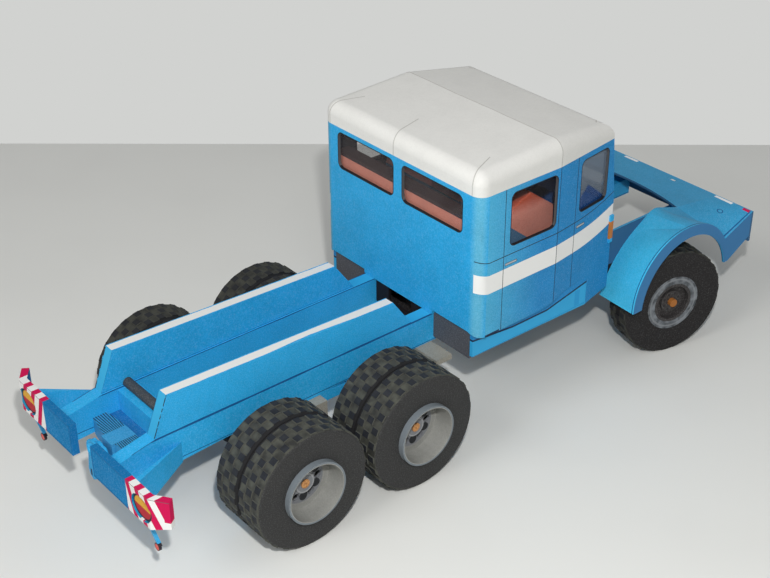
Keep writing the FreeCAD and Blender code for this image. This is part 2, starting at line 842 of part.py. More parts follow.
def knuckle(side, name):
    """The steering knuckle: an upright barrel on the kingpin, a sleeve for the stub dowel and an arm."""
    half = s.knuckle_height * HALF
    sleeve_end = (s.kingpin_offset - s.tyre_width * HALF + s.disc_thick) * side
    low, high = (ZERO, sleeve_end) if side > 0 else (sleeve_end, ZERO)
    barrel = rod(f"knuckle_barrel_{name}", s.knuckle_radius, -half, half, "z", (ZERO, ZERO))
    sleeve = rod(f"knuckle_sleeve_{name}", s.sleeve_radius, low, high, "y", (ZERO, ZERO))
    arm = box(f"knuckle_arm_{name}", (-s.arm_length - s.arm_reach, ZERO), (-s.arm_reach, s.arm_reach),
              (-half, -half + s.arm_thick))
    pin = rod(f"knuckle_arm_pin_{name}", s.arm_pin_radius, -half - s.arm_pin_length, -half + s.arm_thick, "z",
              (-s.arm_length, ZERO))
    solid = fuse(f"knuckle_solid_{name}", [barrel, sleeve, arm, pin])
    bore = rod(f"knuckle_bore_{name}", s.kingpin_radius + s.running_gap, -half - s.overrun, half + s.overrun,
               "z", (ZERO, ZERO))
    socket_start = (s.kingpin_radius + s.rim_wall) * side
    socket_end = (s.kingpin_offset + s.overrun) * side
    socket_low, socket_high = (socket_start, socket_end) if side > 0 else (socket_end, socket_start)
    socket = rod(f"knuckle_socket_{name}", s.dowel_radius + s.running_gap, socket_low, socket_high, "y",
                 (ZERO, ZERO))
    piece = cut(f"knuckle_cut_{name}", solid, fuse(f"knuckle_holes_{name}", [bore, socket]))
    place(piece, FRONT_AXLE, s.kingpin_side * side, s.tyre_radius, s.steer_angle)
    return keep(piece, f"steering_knuckle_{name}")


front_beam()
for name, side in SIDES.items():
    knuckle(side, name)

for name, side in SIDES.items():
    inner = s.kingpin_offset - s.tyre_width * HALF
    outer = inner + s.tyre_width
    shoulder = s.tyre_radius - s.tyre_edge
    profile = [(inner, s.rim_radius), (inner, shoulder), (inner + s.tyre_edge, s.tyre_radius),
               (outer - s.tyre_edge, s.tyre_radius), (outer, shoulder), (outer, s.rim_radius)]
    tyre = new_body(f"front_tyre_{name}")
    turned(tyre, [(along * side, out) for along, out in profile])
    place(tyre, FRONT_AXLE, s.kingpin_side * side, s.tyre_radius, s.steer_angle)
    keep(tyre, f"front_tyre_{name}")
    bore = s.rim_radius - s.rim_wall
    step = outer - s.front_hub_depth
    stub_start = s.kingpin_radius + s.rim_wall + s.running_gap
    stub_end = step + s.front_cap_rise + s.dowel_proud
    profile = [(stub_start, ZERO), (stub_end, ZERO), (stub_end, s.dowel_radius),
               (step + s.front_cap_rise, s.dowel_radius), (step + s.front_cap_rise, s.front_cap_radius),
               (step, s.front_cap_radius), (step, s.front_hub_radius), (outer, s.front_hub_radius),
               (outer, s.rim_radius), (inner, s.rim_radius), (inner, bore), (step - s.disc_thick, bore),
               (step - s.disc_thick, s.dowel_radius), (stub_start, s.dowel_radius)]
    rim = new_body(f"front_rim_{name}")
    turned(rim, [(along * side, out) for along, out in profile])
    place(rim, FRONT_AXLE, s.kingpin_side * side, s.tyre_radius, s.steer_angle)
    keep(rim, f"front_rim_{name}")


def tie_rod():
    """The bar that joins the two steering arms and keeps the wheels side by side."""
    top = -s.knuckle_height * HALF - s.running_gap
    reach = s.kingpin_side + s.tie_rod_reach
    bar = box("tie_rod_bar", (-s.tie_rod_reach, s.tie_rod_reach), (-reach, reach),
              (top - s.tie_rod_thick, top))
    eyes = [rod(f"tie_rod_eye_{name}", s.arm_pin_radius + s.running_gap, top - s.tie_rod_thick - s.overrun,
                top + s.overrun, "z", (ZERO, s.kingpin_side * side)) for name, side in SIDES.items()]
    piece = cut("tie_rod_cut", bar, fuse("tie_rod_eyes", eyes))
    place(piece, FRONT_AXLE - s.arm_length * cosine(s.steer_angle), -s.arm_length * sine(s.steer_angle),
          s.tyre_radius)
    return keep(piece, "tie_rod")


tie_rod()

# Cab

FRONT_TOP = aft(s.cab_front + s.cab_screen_back)


def cab_plan(inset):
    """Half widths and stations of the cab's wall, moved in by inset."""
    return {"rear": aft(s.cab_rear) + inset, "corner": aft(s.cab_rear - s.cab_corner),
            "pillar": aft(s.cab_pillar), "front": aft(s.cab_front) - inset, "half": s.cab_half - inset,
            "front_half": s.cab_front_half - inset}


def cab_rear_wall():
    """The rear wall with its round corners and two windows, and an apron between the frame members."""
    outer, inner = cab_plan(ZERO), cab_plan(s.cab_wall)
    body = new_body("cab_rear_wall")
    outer_bend = s.cab_corner - s.running_gap
    inner_bend = outer_bend - s.cab_wall
    corners = [(outer["corner"], outer["half"]), (outer["rear"], outer["half"], outer_bend),
               (outer["rear"], -outer["half"], outer_bend), (outer["corner"], -outer["half"]),
               (outer["corner"], -inner["half"]), (inner["rear"], -inner["half"], inner_bend),
               (inner["rear"], inner["half"], inner_bend),
               (outer["corner"], inner["half"])]
    pad(body, "XY", corners, s.cab_side_foot, s.cab_eaves)
    below = s.cab_side_foot - s.overrun
    pocket(body, "YZ", [(-s.cab_apron_half, below), (s.cab_apron_half, below),
                        (s.cab_apron_half, s.cab_apron_foot), (-s.cab_apron_half, s.cab_apron_foot)])
    for name, side in SIDES.items():
        low, high = span(side, s.rear_window_inner, s.rear_window_outer)
        pocket(body, "YZ", oblong(low, high, s.rear_window_foot, s.rear_window_head, s.window_corner))
        far = (s.cab_half + s.overrun) * side
        pocket(body, "YZ", [(s.cab_apron_half * side, below), (far, below), (far, s.cab_side_foot),
                            (s.cab_half * side, s.cab_side_foot),
                            ((s.cab_half - s.cab_corner) * side, s.cab_rear_foot),
                            (s.cab_apron_half * side, s.cab_rear_foot)])
    return keep(body, "cab_rear_wall")


def cab_side(side, name):
    """One side: a wall that tapers in ahead of the middle pillar, with two door windows."""
    outer, inner = cab_plan(ZERO), cab_plan(s.cab_wall)
    body = new_body(f"cab_side_{name}")
    corners = [(outer["corner"], outer["half"] * side), (outer["pillar"], outer["half"] * side),
               (outer["front"], outer["front_half"] * side), (outer["front"], inner["front_half"] * side),
               (outer["pillar"], inner["half"] * side), (outer["corner"], inner["half"] * side)]
    pad(body, "XY", corners, s.sill_front_foot, s.cab_eaves)
    windows = ((s.rear_door_window_rear, s.rear_door_window_front),
               (s.front_door_window_rear, s.front_door_window_front))
    for rear, front in windows:
        pocket(body, "XZ", oblong(aft(rear), aft(front), s.door_window_foot, s.door_window_head,
                                  s.window_corner))
    below = s.sill_front_foot - s.overrun
    pocket(body, "XZ", [(aft(s.cab_rear), below), (outer["front"] + s.overrun, below),
                        (outer["front"] + s.overrun, s.cab_front_foot), (outer["front"], s.cab_front_foot),
                        (aft(s.sill_front), s.sill_front_foot), (aft(s.sill_front), s.floor_height),
                        (aft(s.foot_rise_front), s.floor_height, s.foot_bend),
                        (aft(s.foot_rise_rear), s.cab_side_foot, s.foot_bend),
                        (aft(s.cab_rear), s.cab_side_foot)])
    ahead = outer["front"] + s.overrun
    above = s.cab_eaves + s.overrun
    pocket(body, "XZ", [(FRONT_TOP, above), (ahead, above), (ahead, s.cab_belt), (outer["front"], s.cab_belt),
                        (FRONT_TOP, s.cab_eaves)])
    return keep(body, f"cab_side_{name}")


def cab_front_wall():
    """The bulkhead behind the missing bonnet, with the leaning windscreen frame above it."""
    body = new_body("cab_front_wall")
    front, back = aft(s.cab_front), aft(s.cab_front) - s.cab_wall
    pad(body, "XZ", [(back, s.cab_front_foot), (front, s.cab_front_foot), (front, s.cab_belt),
                     (FRONT_TOP, s.cab_eaves), (FRONT_TOP - s.cab_wall, s.cab_eaves), (back, s.cab_belt)],
        -s.cab_front_half + s.cab_wall + s.floor_gap, s.cab_front_half - s.cab_wall - s.floor_gap)
    pocket(body, "YZ", oblong(-s.screen_half, s.screen_half, s.screen_foot, s.screen_head, s.window_corner))
    for name, side in SIDES.items():
        low, high = span(side, s.frame_inner, s.frame_outer)
        pocket(body, "YZ", [(low, s.cab_front_foot - s.overrun), (high, s.cab_front_foot - s.overrun),
                            (high, s.frame_top), (low, s.frame_top)])
    return keep(body, "cab_front_wall")


def round_edges(body, name, radius, chosen):
    """Round the edges of the body's shape that the given test picks."""
    doc.recompute()
    edges = [f"Edge{index}" for index, edge in enumerate(body.Shape.Edges, start=1) if chosen(edge.BoundBox)]
    base = body.Tip
    fillet = body.newObject("PartDesign::Fillet", name)
    fillet.Base = (base, edges)
    bind(fillet, "Radius", radius)
    body.Tip = fillet
    return fillet


def roof_block(name, inset):
    """The roof's outer form, moved in by inset: a ridge at the middle seam and every upper edge round."""
    body = new_body(name)
    plan = cab_plan(inset)
    front = FRONT_TOP - inset
    low = s.cab_eaves - inset
    pad(body, "XZ", [(plan["rear"], low), (front, low), (front, low + s.roof_front_rise),
                     (plan["pillar"], low + s.roof_ridge_rise), (plan["rear"], low + s.roof_rear_rise)],
        -plan["half"], plan["half"])
    for side in SIDES.values():
        pocket(body, "XY", [(plan["pillar"], plan["half"] * side), (plan["front"], plan["front_half"] * side),
                            (plan["front"] + s.overrun, (plan["half"] + s.overrun) * side),
                            (plan["pillar"], (plan["half"] + s.overrun) * side)])
    small = SIZES["running_gap"]
    rear = plan["rear"].number
    ridge = plan["pillar"].number
    eaves = SIZES["cab_eaves"]
    round_edges(body, f"{name}_corners", s.cab_corner - inset - s.running_gap,
                lambda b: b.XLength < small and b.YLength < small and b.XMax < rear + small)
    round_edges(body, f"{name}_top", s.roof_front_rise * ROUND_SHARE - inset,
                lambda b: b.ZMin > eaves + small and not (b.XLength < small and abs(b.XMin - ridge) < small))
    return body


def cab_roof():
    """The white roof: a hollow cap on the walls."""
    return keep(cut("cab_roof_cut", roof_block("roof_outside", ZERO), roof_block("roof_inside", s.roof_wall)),
                "cab_roof")


cab_rear_wall()
for name, side in SIDES.items():
    cab_side(side, name)
cab_front_wall()
cab_roof()


def cab_floor():
    """The floor sheet inside the walls."""
    body = new_body("cab_floor")
    plan = cab_plan(s.cab_wall + s.floor_gap)
    half, front_half = plan["half"], plan["front_half"]
    pad(body, "XY", [(plan["rear"], -half, s.cab_corner - s.cab_wall), (plan["pillar"], -half),
                     (plan["front"], -front_half), (plan["front"], front_half), (plan["pillar"], half),
                     (plan["rear"], half, s.cab_corner - s.cab_wall)],
        s.floor_height, s.floor_height + s.floor_thick)
    return keep(body, "cab_floor")


cab_floor()

def cab_taper(size):
    """How far the cab's side has come in at a distance behind the front axle, ahead of the middle pillar."""
    return (s.cab_pillar - size) * (s.cab_half - s.cab_front_half) / (s.cab_pillar - s.cab_front)


def cross_panel(name, rear, half):
    """An upright cross panel below the floor, notched round the frame members and open in the middle."""
    low, high = aft(rear) - s.overrun, aft(rear) + s.overrun
    panel = box(f"{name}_sheet", (aft(rear), aft(rear) + s.panel_thick), (-half, half),
                (s.panel_foot, s.floor_height))
    holes = [box(f"{name}_hole", (low, high), (-s.panel_opening_half, s.panel_opening_half),
                 (s.panel_opening_foot, s.cab_apron_foot))]
    holes += [box(f"{name}_notch_{label}", (low, high), span(side, s.frame_inner, s.frame_outer),
                  (s.panel_foot - s.overrun, s.frame_top)) for label, side in SIDES.items()]
    return cut(f"{name}_cut", panel, fuse(f"{name}_holes", holes))


keep(group("underframe_panels", [
    cross_panel("rear_panel", s.cab_rear - s.cab_wall, s.panel_half),
    cross_panel("front_panel", s.sill_front + s.panel_thick, s.sill_half - s.sill_thick)]),
    "cab_underframe")


def sill(side, name):
    """The straight sill below the doors, up to the floor, and lower where the cab's corner comes down."""
    body = new_body(f"sill_{name}")
    rear, corner, front = aft(s.cab_rear - s.cab_wall), aft(s.cab_rear - s.cab_corner), aft(s.sill_front)
    low, high = span(side, s.sill_half - s.sill_thick, s.sill_half)
    step = (s.cab_rear_foot + s.cab_side_foot) * HALF
    pad(body, "XZ", [(rear, s.sill_rear_foot), (front, s.sill_front_foot), (front, s.floor_height),
                     (corner, s.floor_height), (corner, step), (rear, step)], low, high)
    return keep(body, f"sill_{name}")


for name, side in SIDES.items():
    sill(side, name)


def window_films():
    """Clear films glued inside the walls over every window opening."""
    films = []
    rear = aft(s.cab_rear - s.cab_wall)
    margin = s.window_corner * HALF
    for name, side in SIDES.items():
        low, high = span(side, s.rear_window_inner - margin, s.rear_window_outer + margin)
        films.append(box(f"rear_film_{name}", (rear, rear + s.film_thick), (low, high),
                         (s.rear_window_foot - margin, s.rear_window_head + margin)))
        inner = s.cab_half - s.cab_wall
        low, high = span(side, inner - s.film_thick, inner)
        films.append(box(f"rear_door_film_{name}",
                         (aft(s.rear_door_window_rear) - margin, aft(s.rear_door_window_front) + margin),
                         (low, high), (s.door_window_foot - margin, s.door_window_head + margin)))
        body = new_body(f"front_door_film_{name}")
        stations = (s.front_door_window_rear + margin, s.front_door_window_front - margin)
        outer = [(aft(station), (inner - cab_taper(station)) * side) for station in stations]
        back = [(across, up - s.film_thick * side) for across, up in reversed(outer)]
        pad(body, "XY", outer + back, s.door_window_foot - margin, s.door_window_head + margin)
        films.append(body)
    body = new_body("windscreen_film")
    back = aft(s.cab_front) - s.cab_wall
    top_back = FRONT_TOP - s.cab_wall
    share = (s.cab_eaves - s.cab_belt) / s.cab_screen_back
    lean_foot = (s.screen_foot - margin - s.cab_belt) / share
    lean_head = (s.screen_head + margin - s.cab_belt) / share
    pad(body, "XZ", [(back - lean_foot, s.screen_foot - margin), (back - lean_head, s.screen_head + margin),
                     (back - lean_head - s.film_thick, s.screen_head + margin),
                     (back - lean_foot - s.film_thick, s.screen_foot - margin)],
        -s.screen_half - margin, s.screen_half + margin)
    films.append(body)
    return keep(group("film_set", films), "window_films")


window_films()

# Seats and dashboard
seat_base = s.floor_height + s.floor_thick


def seat(label, rear, depth, centre, half):
    """A block cushion with an upright back."""
    low, high = centre - half, centre + half
    cushion = box(f"{label}_cushion", (rear, rear + depth), (low, high),
                  (seat_base, seat_base + s.seat_height))
    back = box(f"{label}_back", (rear, rear + s.seat_back_thick), (low, high),
               (seat_base, seat_base + s.seat_back_height))
    return keep(fuse(f"{label}_fuse", [cushion, back]), label)


seat("rear_bench", aft(s.cab_rear - s.cab_wall - s.bench_rear_gap), s.bench_depth, ZERO, s.bench_half)
for name, side in SIDES.items():
    seat(f"front_seat_{name}", aft(s.front_seat_rear), s.seat_depth, s.front_seat_side * side, s.seat_half)

dash_front = aft(s.cab_front) - s.cab_wall
keep(box("dashboard", (dash_front - s.dash_depth, dash_front),
         (-s.screen_half, s.screen_half), (seat_base + s.dash_foot, seat_base + s.dash_top)), "dashboard")

# Turn lamps at the front corners of the cab
lamps = []
for name, side in SIDES.items():
    body = new_body(f"turn_lamp_{name}")
    rear = s.cab_front + s.turn_lamp_width
    stations = (rear, s.cab_front)
    face = [(aft(station), (s.cab_half - cab_taper(station)) * side) for station in stations]
    outer = [(across, up + s.turn_lamp_thick * side) for across, up in reversed(face)]
    pad(body, "XY", face + outer, s.turn_lamp_foot, s.turn_lamp_head)
    lamps.append(body)
keep(group("turn_lamp_pair", lamps), "turn_lamps")

# Front: fenders, plate, apron and inner walls

NOSE = fore(s.nose_reach - s.front_sheet)


def sheet_section(upper):
    """The outline of a bent sheet from the corners of its upper line, foot first."""
    thick = s.front_sheet
    foot, knee, crest, valley, front = upper
    lower = [(foot[0] + thick, foot[1]), (knee[0] + thick, knee[1] - thick, knee[2] - thick),
             (crest[0] - thick * HALF, crest[1] - thick, crest[2] - thick),
             (valley[0] - thick * HALF, valley[1] - thick), (front[0], front[1] - thick)]
    return upper + lower[::-1]


def fender(side, name):
    """The wheel cover: a sheet that is round over the wheel at its outer edge and leaner at its inner edge,
    and runs on to the nose, with a side face cut out round the wheel."""
    inner_line = [(aft(s.ledge_rear), s.fender_foot),
                  (aft(s.ledge_knee_back), s.ledge_knee_height, s.ledge_knee_bend),
                  (fore(s.ledge_crest), s.ledge_crest_height, s.ledge_crest_bend),
                  (fore(s.ledge_valley), s.ledge_valley_height), (NOSE, s.nose_top)]
    outer_line = [(aft(s.fender_rear), s.fender_foot), (aft(s.fender_rear), s.fender_top, s.fender_bend),
                  (fore(s.fender_front_corner), s.fender_top, s.fender_bend),
                  (fore(s.fender_valley), s.fender_valley_height), (NOSE, s.nose_top)]
    cover = new_body(f"fender_cover_{name}")
    lofted(cover, [(s.nose_inner * side, sheet_section(inner_line)),
                   (s.nose_half * side, sheet_section(outer_line))])
    face = new_body(f"fender_face_{name}")
    low, high = span(side, s.nose_half - s.front_sheet, s.nose_half)
    middle = fore(s.arch_forward)
    pad(face, "XZ", outer_line + [(NOSE, s.gusset_front_foot), (fore(s.gusset_forward), s.gusset_foot),
                                  (middle, s.gusset_foot), (middle, s.fender_foot)], low, high)
    opening = rod(f"wheel_arch_{name}", s.arch_radius, low - s.overrun, high + s.overrun, "y",
                  (middle, s.arch_height))
    arched = cut(f"fender_arch_{name}", face, opening)
    return keep(fuse(f"fender_fuse_{name}", [cover, arched]), f"fender_{name}")


for name, side in SIDES.items():
    fender(side, name)

plate_body = new_body("front_plate_sheet")
LEDGE = fore(s.ledge_valley)
pad(plate_body, "XZ", [(LEDGE, s.ledge_valley_height - s.front_sheet), (NOSE, s.nose_top - s.front_sheet),
                       (NOSE, s.nose_top), (LEDGE, s.ledge_valley_height)], -s.nose_inner, s.nose_inner)
CUT_DEPTH = s.plate_cut - s.ledge_valley
CUT_RADIUS = (s.nose_inner * s.nose_inner + CUT_DEPTH * CUT_DEPTH) / (CUT_DEPTH + CUT_DEPTH)
bow = rod("plate_bow", CUT_RADIUS, s.frame_top, s.fender_top, "z", (fore(s.plate_cut) - CUT_RADIUS, ZERO))
keep(cut("front_plate_cut", plate_body, bow), "front_plate")

keep(box("front_apron", (NOSE, fore(s.nose_reach)), (-s.nose_half, s.nose_half), (s.apron_foot, s.nose_top)),
     "front_apron")

walls = []
for name, side in SIDES.items():
    low, high = span(side, s.nose_inner - s.front_sheet, s.nose_inner)
    wall = new_body(f"fender_wall_{name}")
    pad(wall, "XZ", [(aft(s.cab_front), s.inner_wall_foot), (LEDGE, s.inner_wall_foot),
                     (LEDGE, s.ledge_valley_height - s.front_sheet), (fore(s.ledge_crest), s.inner_wall_top),
                     (aft(s.cab_front), s.inner_wall_top)], low, high)
    walls.append(wall)
keep(group("fender_wall_pair", walls), "fender_walls")

doc.recompute()

bad = [item.Name for item in doc.Objects if "Invalid" in item.State or "Error" in item.State]
if bad:
    raise RuntimeError(f"objects that failed: {bad}")
for piece in finished:
    if piece.Shape.isNull() or not piece.Shape.isValid() or not piece.Shape.Solids:
        raise RuntimeError(f"{piece.Label} has no valid solid")

os.makedirs("parts", exist_ok=True)
for piece in finished:
    piece.Shape.exportStep(os.path.join("parts", f"{piece.Label}.step"))
    bounds = piece.Shape.BoundBox
    print(f"{piece.Label:26s} {len(piece.Shape.Solids)} solids, volume {piece.Shape.Volume:9.1f}, "
          f"x {bounds.XMin:7.2f} {bounds.XMax:7.2f}  y {bounds.YMin:7.2f} {bounds.YMax:7.2f}  "
          f"z {bounds.ZMin:6.2f} {bounds.ZMax:6.2f}")
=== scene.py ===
# %% [markdown]
# # A paper model of a heavy truck tractor
# The object is a truck tractor glued together from printed sheets, about a hand and a half long.
# Its folded shapes come from the CAD frame, and this lesson dresses them: each printed sheet gets
# its ink and its lines, the wheels get their tread, and a camera looks at it as in the photograph.

# %% Load the frame
import bpy
import bmesh
import math
from mathutils import Matrix, Vector


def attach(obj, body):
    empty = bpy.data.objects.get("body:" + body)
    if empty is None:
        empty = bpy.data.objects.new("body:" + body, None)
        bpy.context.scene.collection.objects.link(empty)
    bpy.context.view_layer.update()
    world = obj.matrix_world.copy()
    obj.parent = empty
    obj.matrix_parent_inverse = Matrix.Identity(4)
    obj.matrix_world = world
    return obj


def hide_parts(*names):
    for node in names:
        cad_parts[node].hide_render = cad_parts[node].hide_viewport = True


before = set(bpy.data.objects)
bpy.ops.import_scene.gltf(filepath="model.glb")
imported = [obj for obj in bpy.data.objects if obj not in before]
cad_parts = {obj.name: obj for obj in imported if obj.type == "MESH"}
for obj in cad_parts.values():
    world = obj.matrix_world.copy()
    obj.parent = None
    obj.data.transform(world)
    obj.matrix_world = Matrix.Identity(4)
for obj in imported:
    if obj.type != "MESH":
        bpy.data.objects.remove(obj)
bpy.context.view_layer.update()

MM = 0.001

# %% [markdown]
# ## Camera
# The camera stands behind the right rear corner and looks down on the model at about 31 degrees.
# Its place, its turn and its lens were worked out from straight edges in the photograph, so the
# frame's corners land on the same pixels.

# %% Camera
CAMERA_PLACE = Vector((-270.61, -313.78, 289.58)) * MM
CAMERA_RIGHT = Vector((0.76839, -0.63996, -0.00461))
CAMERA_UP = Vector((0.33406, 0.39494, 0.85582))
LENS = 66.19
SENSOR = 36.0

camera = bpy.data.objects.new("camera", bpy.data.cameras.new("camera"))
bpy.context.scene.collection.objects.link(camera)
turn = Matrix((CAMERA_RIGHT, CAMERA_UP, CAMERA_RIGHT.cross(CAMERA_UP))).transposed()
camera.matrix_world = Matrix.Translation(CAMERA_PLACE) @ turn.to_4x4()
camera.data.lens = LENS
camera.data.sensor_width = SENSOR
camera.data.clip_start = 0.01
camera.data.clip_end = 50
bpy.context.scene.camera = camera
print("camera looks along", [round(part, 3) for part in camera.matrix_world.to_3x3() @ Vector((0, 0, -1))])

# %% [markdown]
# ## Light
# The photograph has three lights: a small lamp just above the lens, which draws the short shadows
# under the tail, a window behind the tail, which brightens the walls that face backwards, and a
# lit room. The first two become area lamps, and the room a wide weak lamp and the world's even
# light. To the camera, in gloss and through clear film the world shows a pale colour of its own,
# which gives the backdrop without more light on the model.

# %% Light and backdrop
def ink(red, green, blue):
    """A colour as it shows on a screen, 0 to 255, as the shader's own numbers."""
    shares = [part / 255 for part in (red, green, blue)]
    return (*[s / 12.92 if s <= 0.04045 else ((s + 0.055) / 1.055) ** 2.4 for s in shares], 1.0)


def area_lamp(name, azimuth, elevation, distance, size, power):
    """A round lamp that looks at the model from a direction given in degrees."""
    light = bpy.data.lights.new(name, "AREA")
    light.shape = "DISK"
    light.size = size
    light.energy = power
    lamp = bpy.data.objects.new(name, light)
    bpy.context.scene.collection.objects.link(lamp)
    around, up = math.radians(azimuth), math.radians(elevation)
    back = Vector((math.cos(around) * math.cos(up), math.sin(around) * math.cos(up), math.sin(up)))
    tilt = back.to_track_quat("Z", "Y").to_matrix().to_4x4()
    lamp.matrix_world = Matrix.Translation(back * distance) @ tilt
    return lamp


key = area_lamp("key", azimuth=-128.6, elevation=41.7, distance=0.513, size=0.015, power=1.25)
window_light = area_lamp("window_light", azimuth=180, elevation=40, distance=2.0, size=1.0, power=10.0)
room_light = area_lamp("room_light", azimuth=-126, elevation=45, distance=1.6, size=0.6, power=3.4)

ROOM_COLOUR = ink(250, 252, 255)
ROOM_STRENGTH = 0.24
BACKDROP = ink(209, 210, 208)
world = bpy.data.worlds.new("room")
bpy.context.scene.world = world
world.use_nodes = True
tree = world.node_tree
room = tree.nodes["Background"]
room.inputs["Color"].default_value = ROOM_COLOUR
room.inputs["Strength"].default_value = ROOM_STRENGTH
backdrop = tree.nodes.new("ShaderNodeBackground")
backdrop.inputs["Color"].default_value = BACKDROP
seen = tree.nodes.new("ShaderNodeLightPath")
choice = tree.nodes.new("ShaderNodeMixShader")
either = seen.outputs["Is Camera Ray"]
for ray in ("Is Glossy Ray", "Is Transmission Ray"):
    larger = tree.nodes.new("ShaderNodeMath")
    larger.operation = "MAXIMUM"
    tree.links.new(either, larger.inputs[0])
    tree.links.new(seen.outputs[ray], larger.inputs[1])
    either = larger.outputs[0]
tree.links.new(either, choice.inputs[0])
tree.links.new(room.outputs[0], choice.inputs[1])
tree.links.new(backdrop.outputs[0], choice.inputs[2])
tree.links.new(choice.outputs[0], tree.nodes["World Output"].inputs[0])
bpy.context.scene.view_settings.view_transform = "Standard"
for lamp in (key, window_light, room_light):
    print(lamp.name, "gives", lamp.data.energy, "W")

# %% [markdown]
# ## Sums with sockets
# Everything printed on this model is a line, a band or a patch at a known place, so a finish is
# mostly sums on the place of a point. A small class wraps a socket and takes part in Python's own
# sums: each sum adds its Math node. A second class holds one material and adds any other node.

# %% Sockets in sums
class Value:
    """One number of the shader that takes part in sums."""

    def __init__(self, finish, socket):
        self.finish = finish
        self.socket = socket

    def sum(self, operation, first, second=0.0):
        """Add the Math node of one sum."""
        return self.finish.node("Math", {"operation": operation}, {0: first, 1: second})

    def __add__(self, other):
        return self.sum("ADD", self, other)

    def __radd__(self, other):
        return self.sum("ADD", other, self)

    def __sub__(self, other):
        return self.sum("SUBTRACT", self, other)

    def __rsub__(self, other):
        return self.sum("SUBTRACT", other, self)

    def __mul__(self, other):
        return self.sum("MULTIPLY", self, other)

    def __rmul__(self, other):
        return self.sum("MULTIPLY", other, self)

    def __truediv__(self, other):
        return self.sum("DIVIDE", self, other)

    def __rtruediv__(self, other):
        return self.sum("DIVIDE", other, self)

    def __pow__(self, power):
        return self.sum("POWER", self, power)

    def __gt__(self, other):
        return self.sum("GREATER_THAN", self, other)

    def __lt__(self, other):
        return self.sum("LESS_THAN", self, other)

    def __or__(self, other):
        return self.sum("MAXIMUM", self, other)

    def __and__(self, other):
        return self.sum("MINIMUM", self, other)

    def __mod__(self, other):
        return self.sum("FLOORED_MODULO", self, other)

    def __abs__(self):
        return self.sum("ABSOLUTE", self)


def between(value, low, high):
    """1 where the value lies between two limits, and 0 elsewhere."""
    return (value > low) * (value < high)


def line(value, middle, width):
    """1 on a printed line of that width."""
    return abs(value - middle) < width / 2


# %% One material and its nodes
CLOUD_SIZES = (9.0, 1.4)
DOT_SIZE = 0.42
FIBRE_SIZE = 0.5
GRAIN_DEPTH = 0.06 * MM


class Finish:
    """A printed or painted surface under construction. Its place is in millimetres."""

    def __init__(self, name, colour, roughness=0.6, gloss=0.3):
        self.material = bpy.data.materials.new(name)
        self.material.use_nodes = True
        self.tree = self.material.node_tree
        self.shader = self.tree.nodes["Principled BSDF"]
        self.shader.inputs["Roughness"].default_value = roughness
        self.shader.inputs["Specular IOR Level"].default_value = gloss
        place = self.node("TexCoord", output="Object")
        self.place = self.node("VectorMath", {"operation": "SCALE"}, {0: place, "Scale": 1 / MM})
        self.x, self.y, self.z = self.parts(self.place)
        self.side = abs(self.y)
        self.facing = self.parts(Value(self, place.socket.node.outputs["Normal"]))
        self.colour = colour
        self.height = None
        self.bump = 0.0

    def node(self, kind, settings=None, inputs=None, output=0):
        """Add a node, with its settings first and then its sockets, and give one of its outputs."""
        node = self.tree.nodes.new("ShaderNode" + kind)
        for name, setting in (settings or {}).items():
            setattr(node, name, setting)
        for name, value in (inputs or {}).items():
            if isinstance(value, Value):
                self.tree.links.new(value.socket, node.inputs[name])
            else:
                node.inputs[name].default_value = value
        return Value(self, node.outputs[output])

    def parts(self, vector):
        """The three numbers of a vector."""
        split = self.node("SeparateXYZ", {}, {0: vector})
        return [Value(self, socket) for socket in split.socket.node.outputs]

    def noise(self, size, detail=2.0, stretch=None):
        """Cloudy numbers round a half, with patches of that size in millimetres."""
        place = self.place
        if stretch:
            place = self.node("VectorMath", {"operation": "MULTIPLY"}, {0: place, 1: stretch})
        return self.node("TexNoise", {}, {"Vector": place, "Scale": 1 / size, "Detail": detail})

    def mix(self, share, low, high):
        """One colour where the share is 0 and another where it is 1."""
        return self.node("Mix", {"data_type": "RGBA"}, {0: share, 6: low, 7: high}, output=2)

    def print_on(self, mask, colour):
        """Lay ink over the sheet where the mask is 1."""
        self.colour = self.mix(mask, self.colour, colour)

    def shade(self, share, amount):
        """Make the colour darker, by a share of black, where the mask is high."""
        self.colour = self.mix(share * amount, self.colour, (0.0, 0.0, 0.0, 1.0))

    def paper(self, mottle=0.10, speckle=0.16, bump=0.25):
        """The grain of printed paper: cloudy ink, fine speckle and fibres that catch the light."""
        cloud = self.noise(CLOUD_SIZES[0]) * 0.6 + self.noise(CLOUD_SIZES[1]) * 0.4
        self.shade((cloud - 0.38) * 4 | 0.0, mottle)
        dots = (self.noise(DOT_SIZE, detail=3.0) - 0.5) * 4
        self.shade(dots | 0.0, speckle)
        self.colour = self.mix((0.0 - dots | 0.0) * speckle * 0.5, self.colour, (1.0, 1.0, 1.0, 1.0))
        self.height = self.noise(FIBRE_SIZE, detail=4.0)
        self.bump = bump
        return self

    def done(self, *nodes):
        """Join the colour and the grain to the shader, and give the material to CAD nodes."""
        if isinstance(self.colour, Value):
            self.tree.links.new(self.colour.socket, self.shader.inputs["Base Color"])
        else:
            self.shader.inputs["Base Color"].default_value = self.colour
        if self.height:
            sockets = {"Strength": self.bump, "Distance": GRAIN_DEPTH, "Height": self.height}
            grain = self.node("Bump", {}, sockets)
            self.tree.links.new(grain.socket, self.shader.inputs["Normal"])
        for name in nodes:
            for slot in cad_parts[name].material_slots:
                slot.material = self.material
        print(self.material.name, "has", len(self.tree.nodes), "nodes")
        return self.material


def both(name):
    """The left and the right node of a pair."""
    return [f"{name}_left", f"{name}_right"]


# %% [markdown]
# ## Floor
# The model stands on a sheet of white card. A flat square is enough, made with `create_grid`, and
# it ends in a straight line behind the model, where the backdrop's colour begins. The line lies
# where the photograph shows the floor's end.

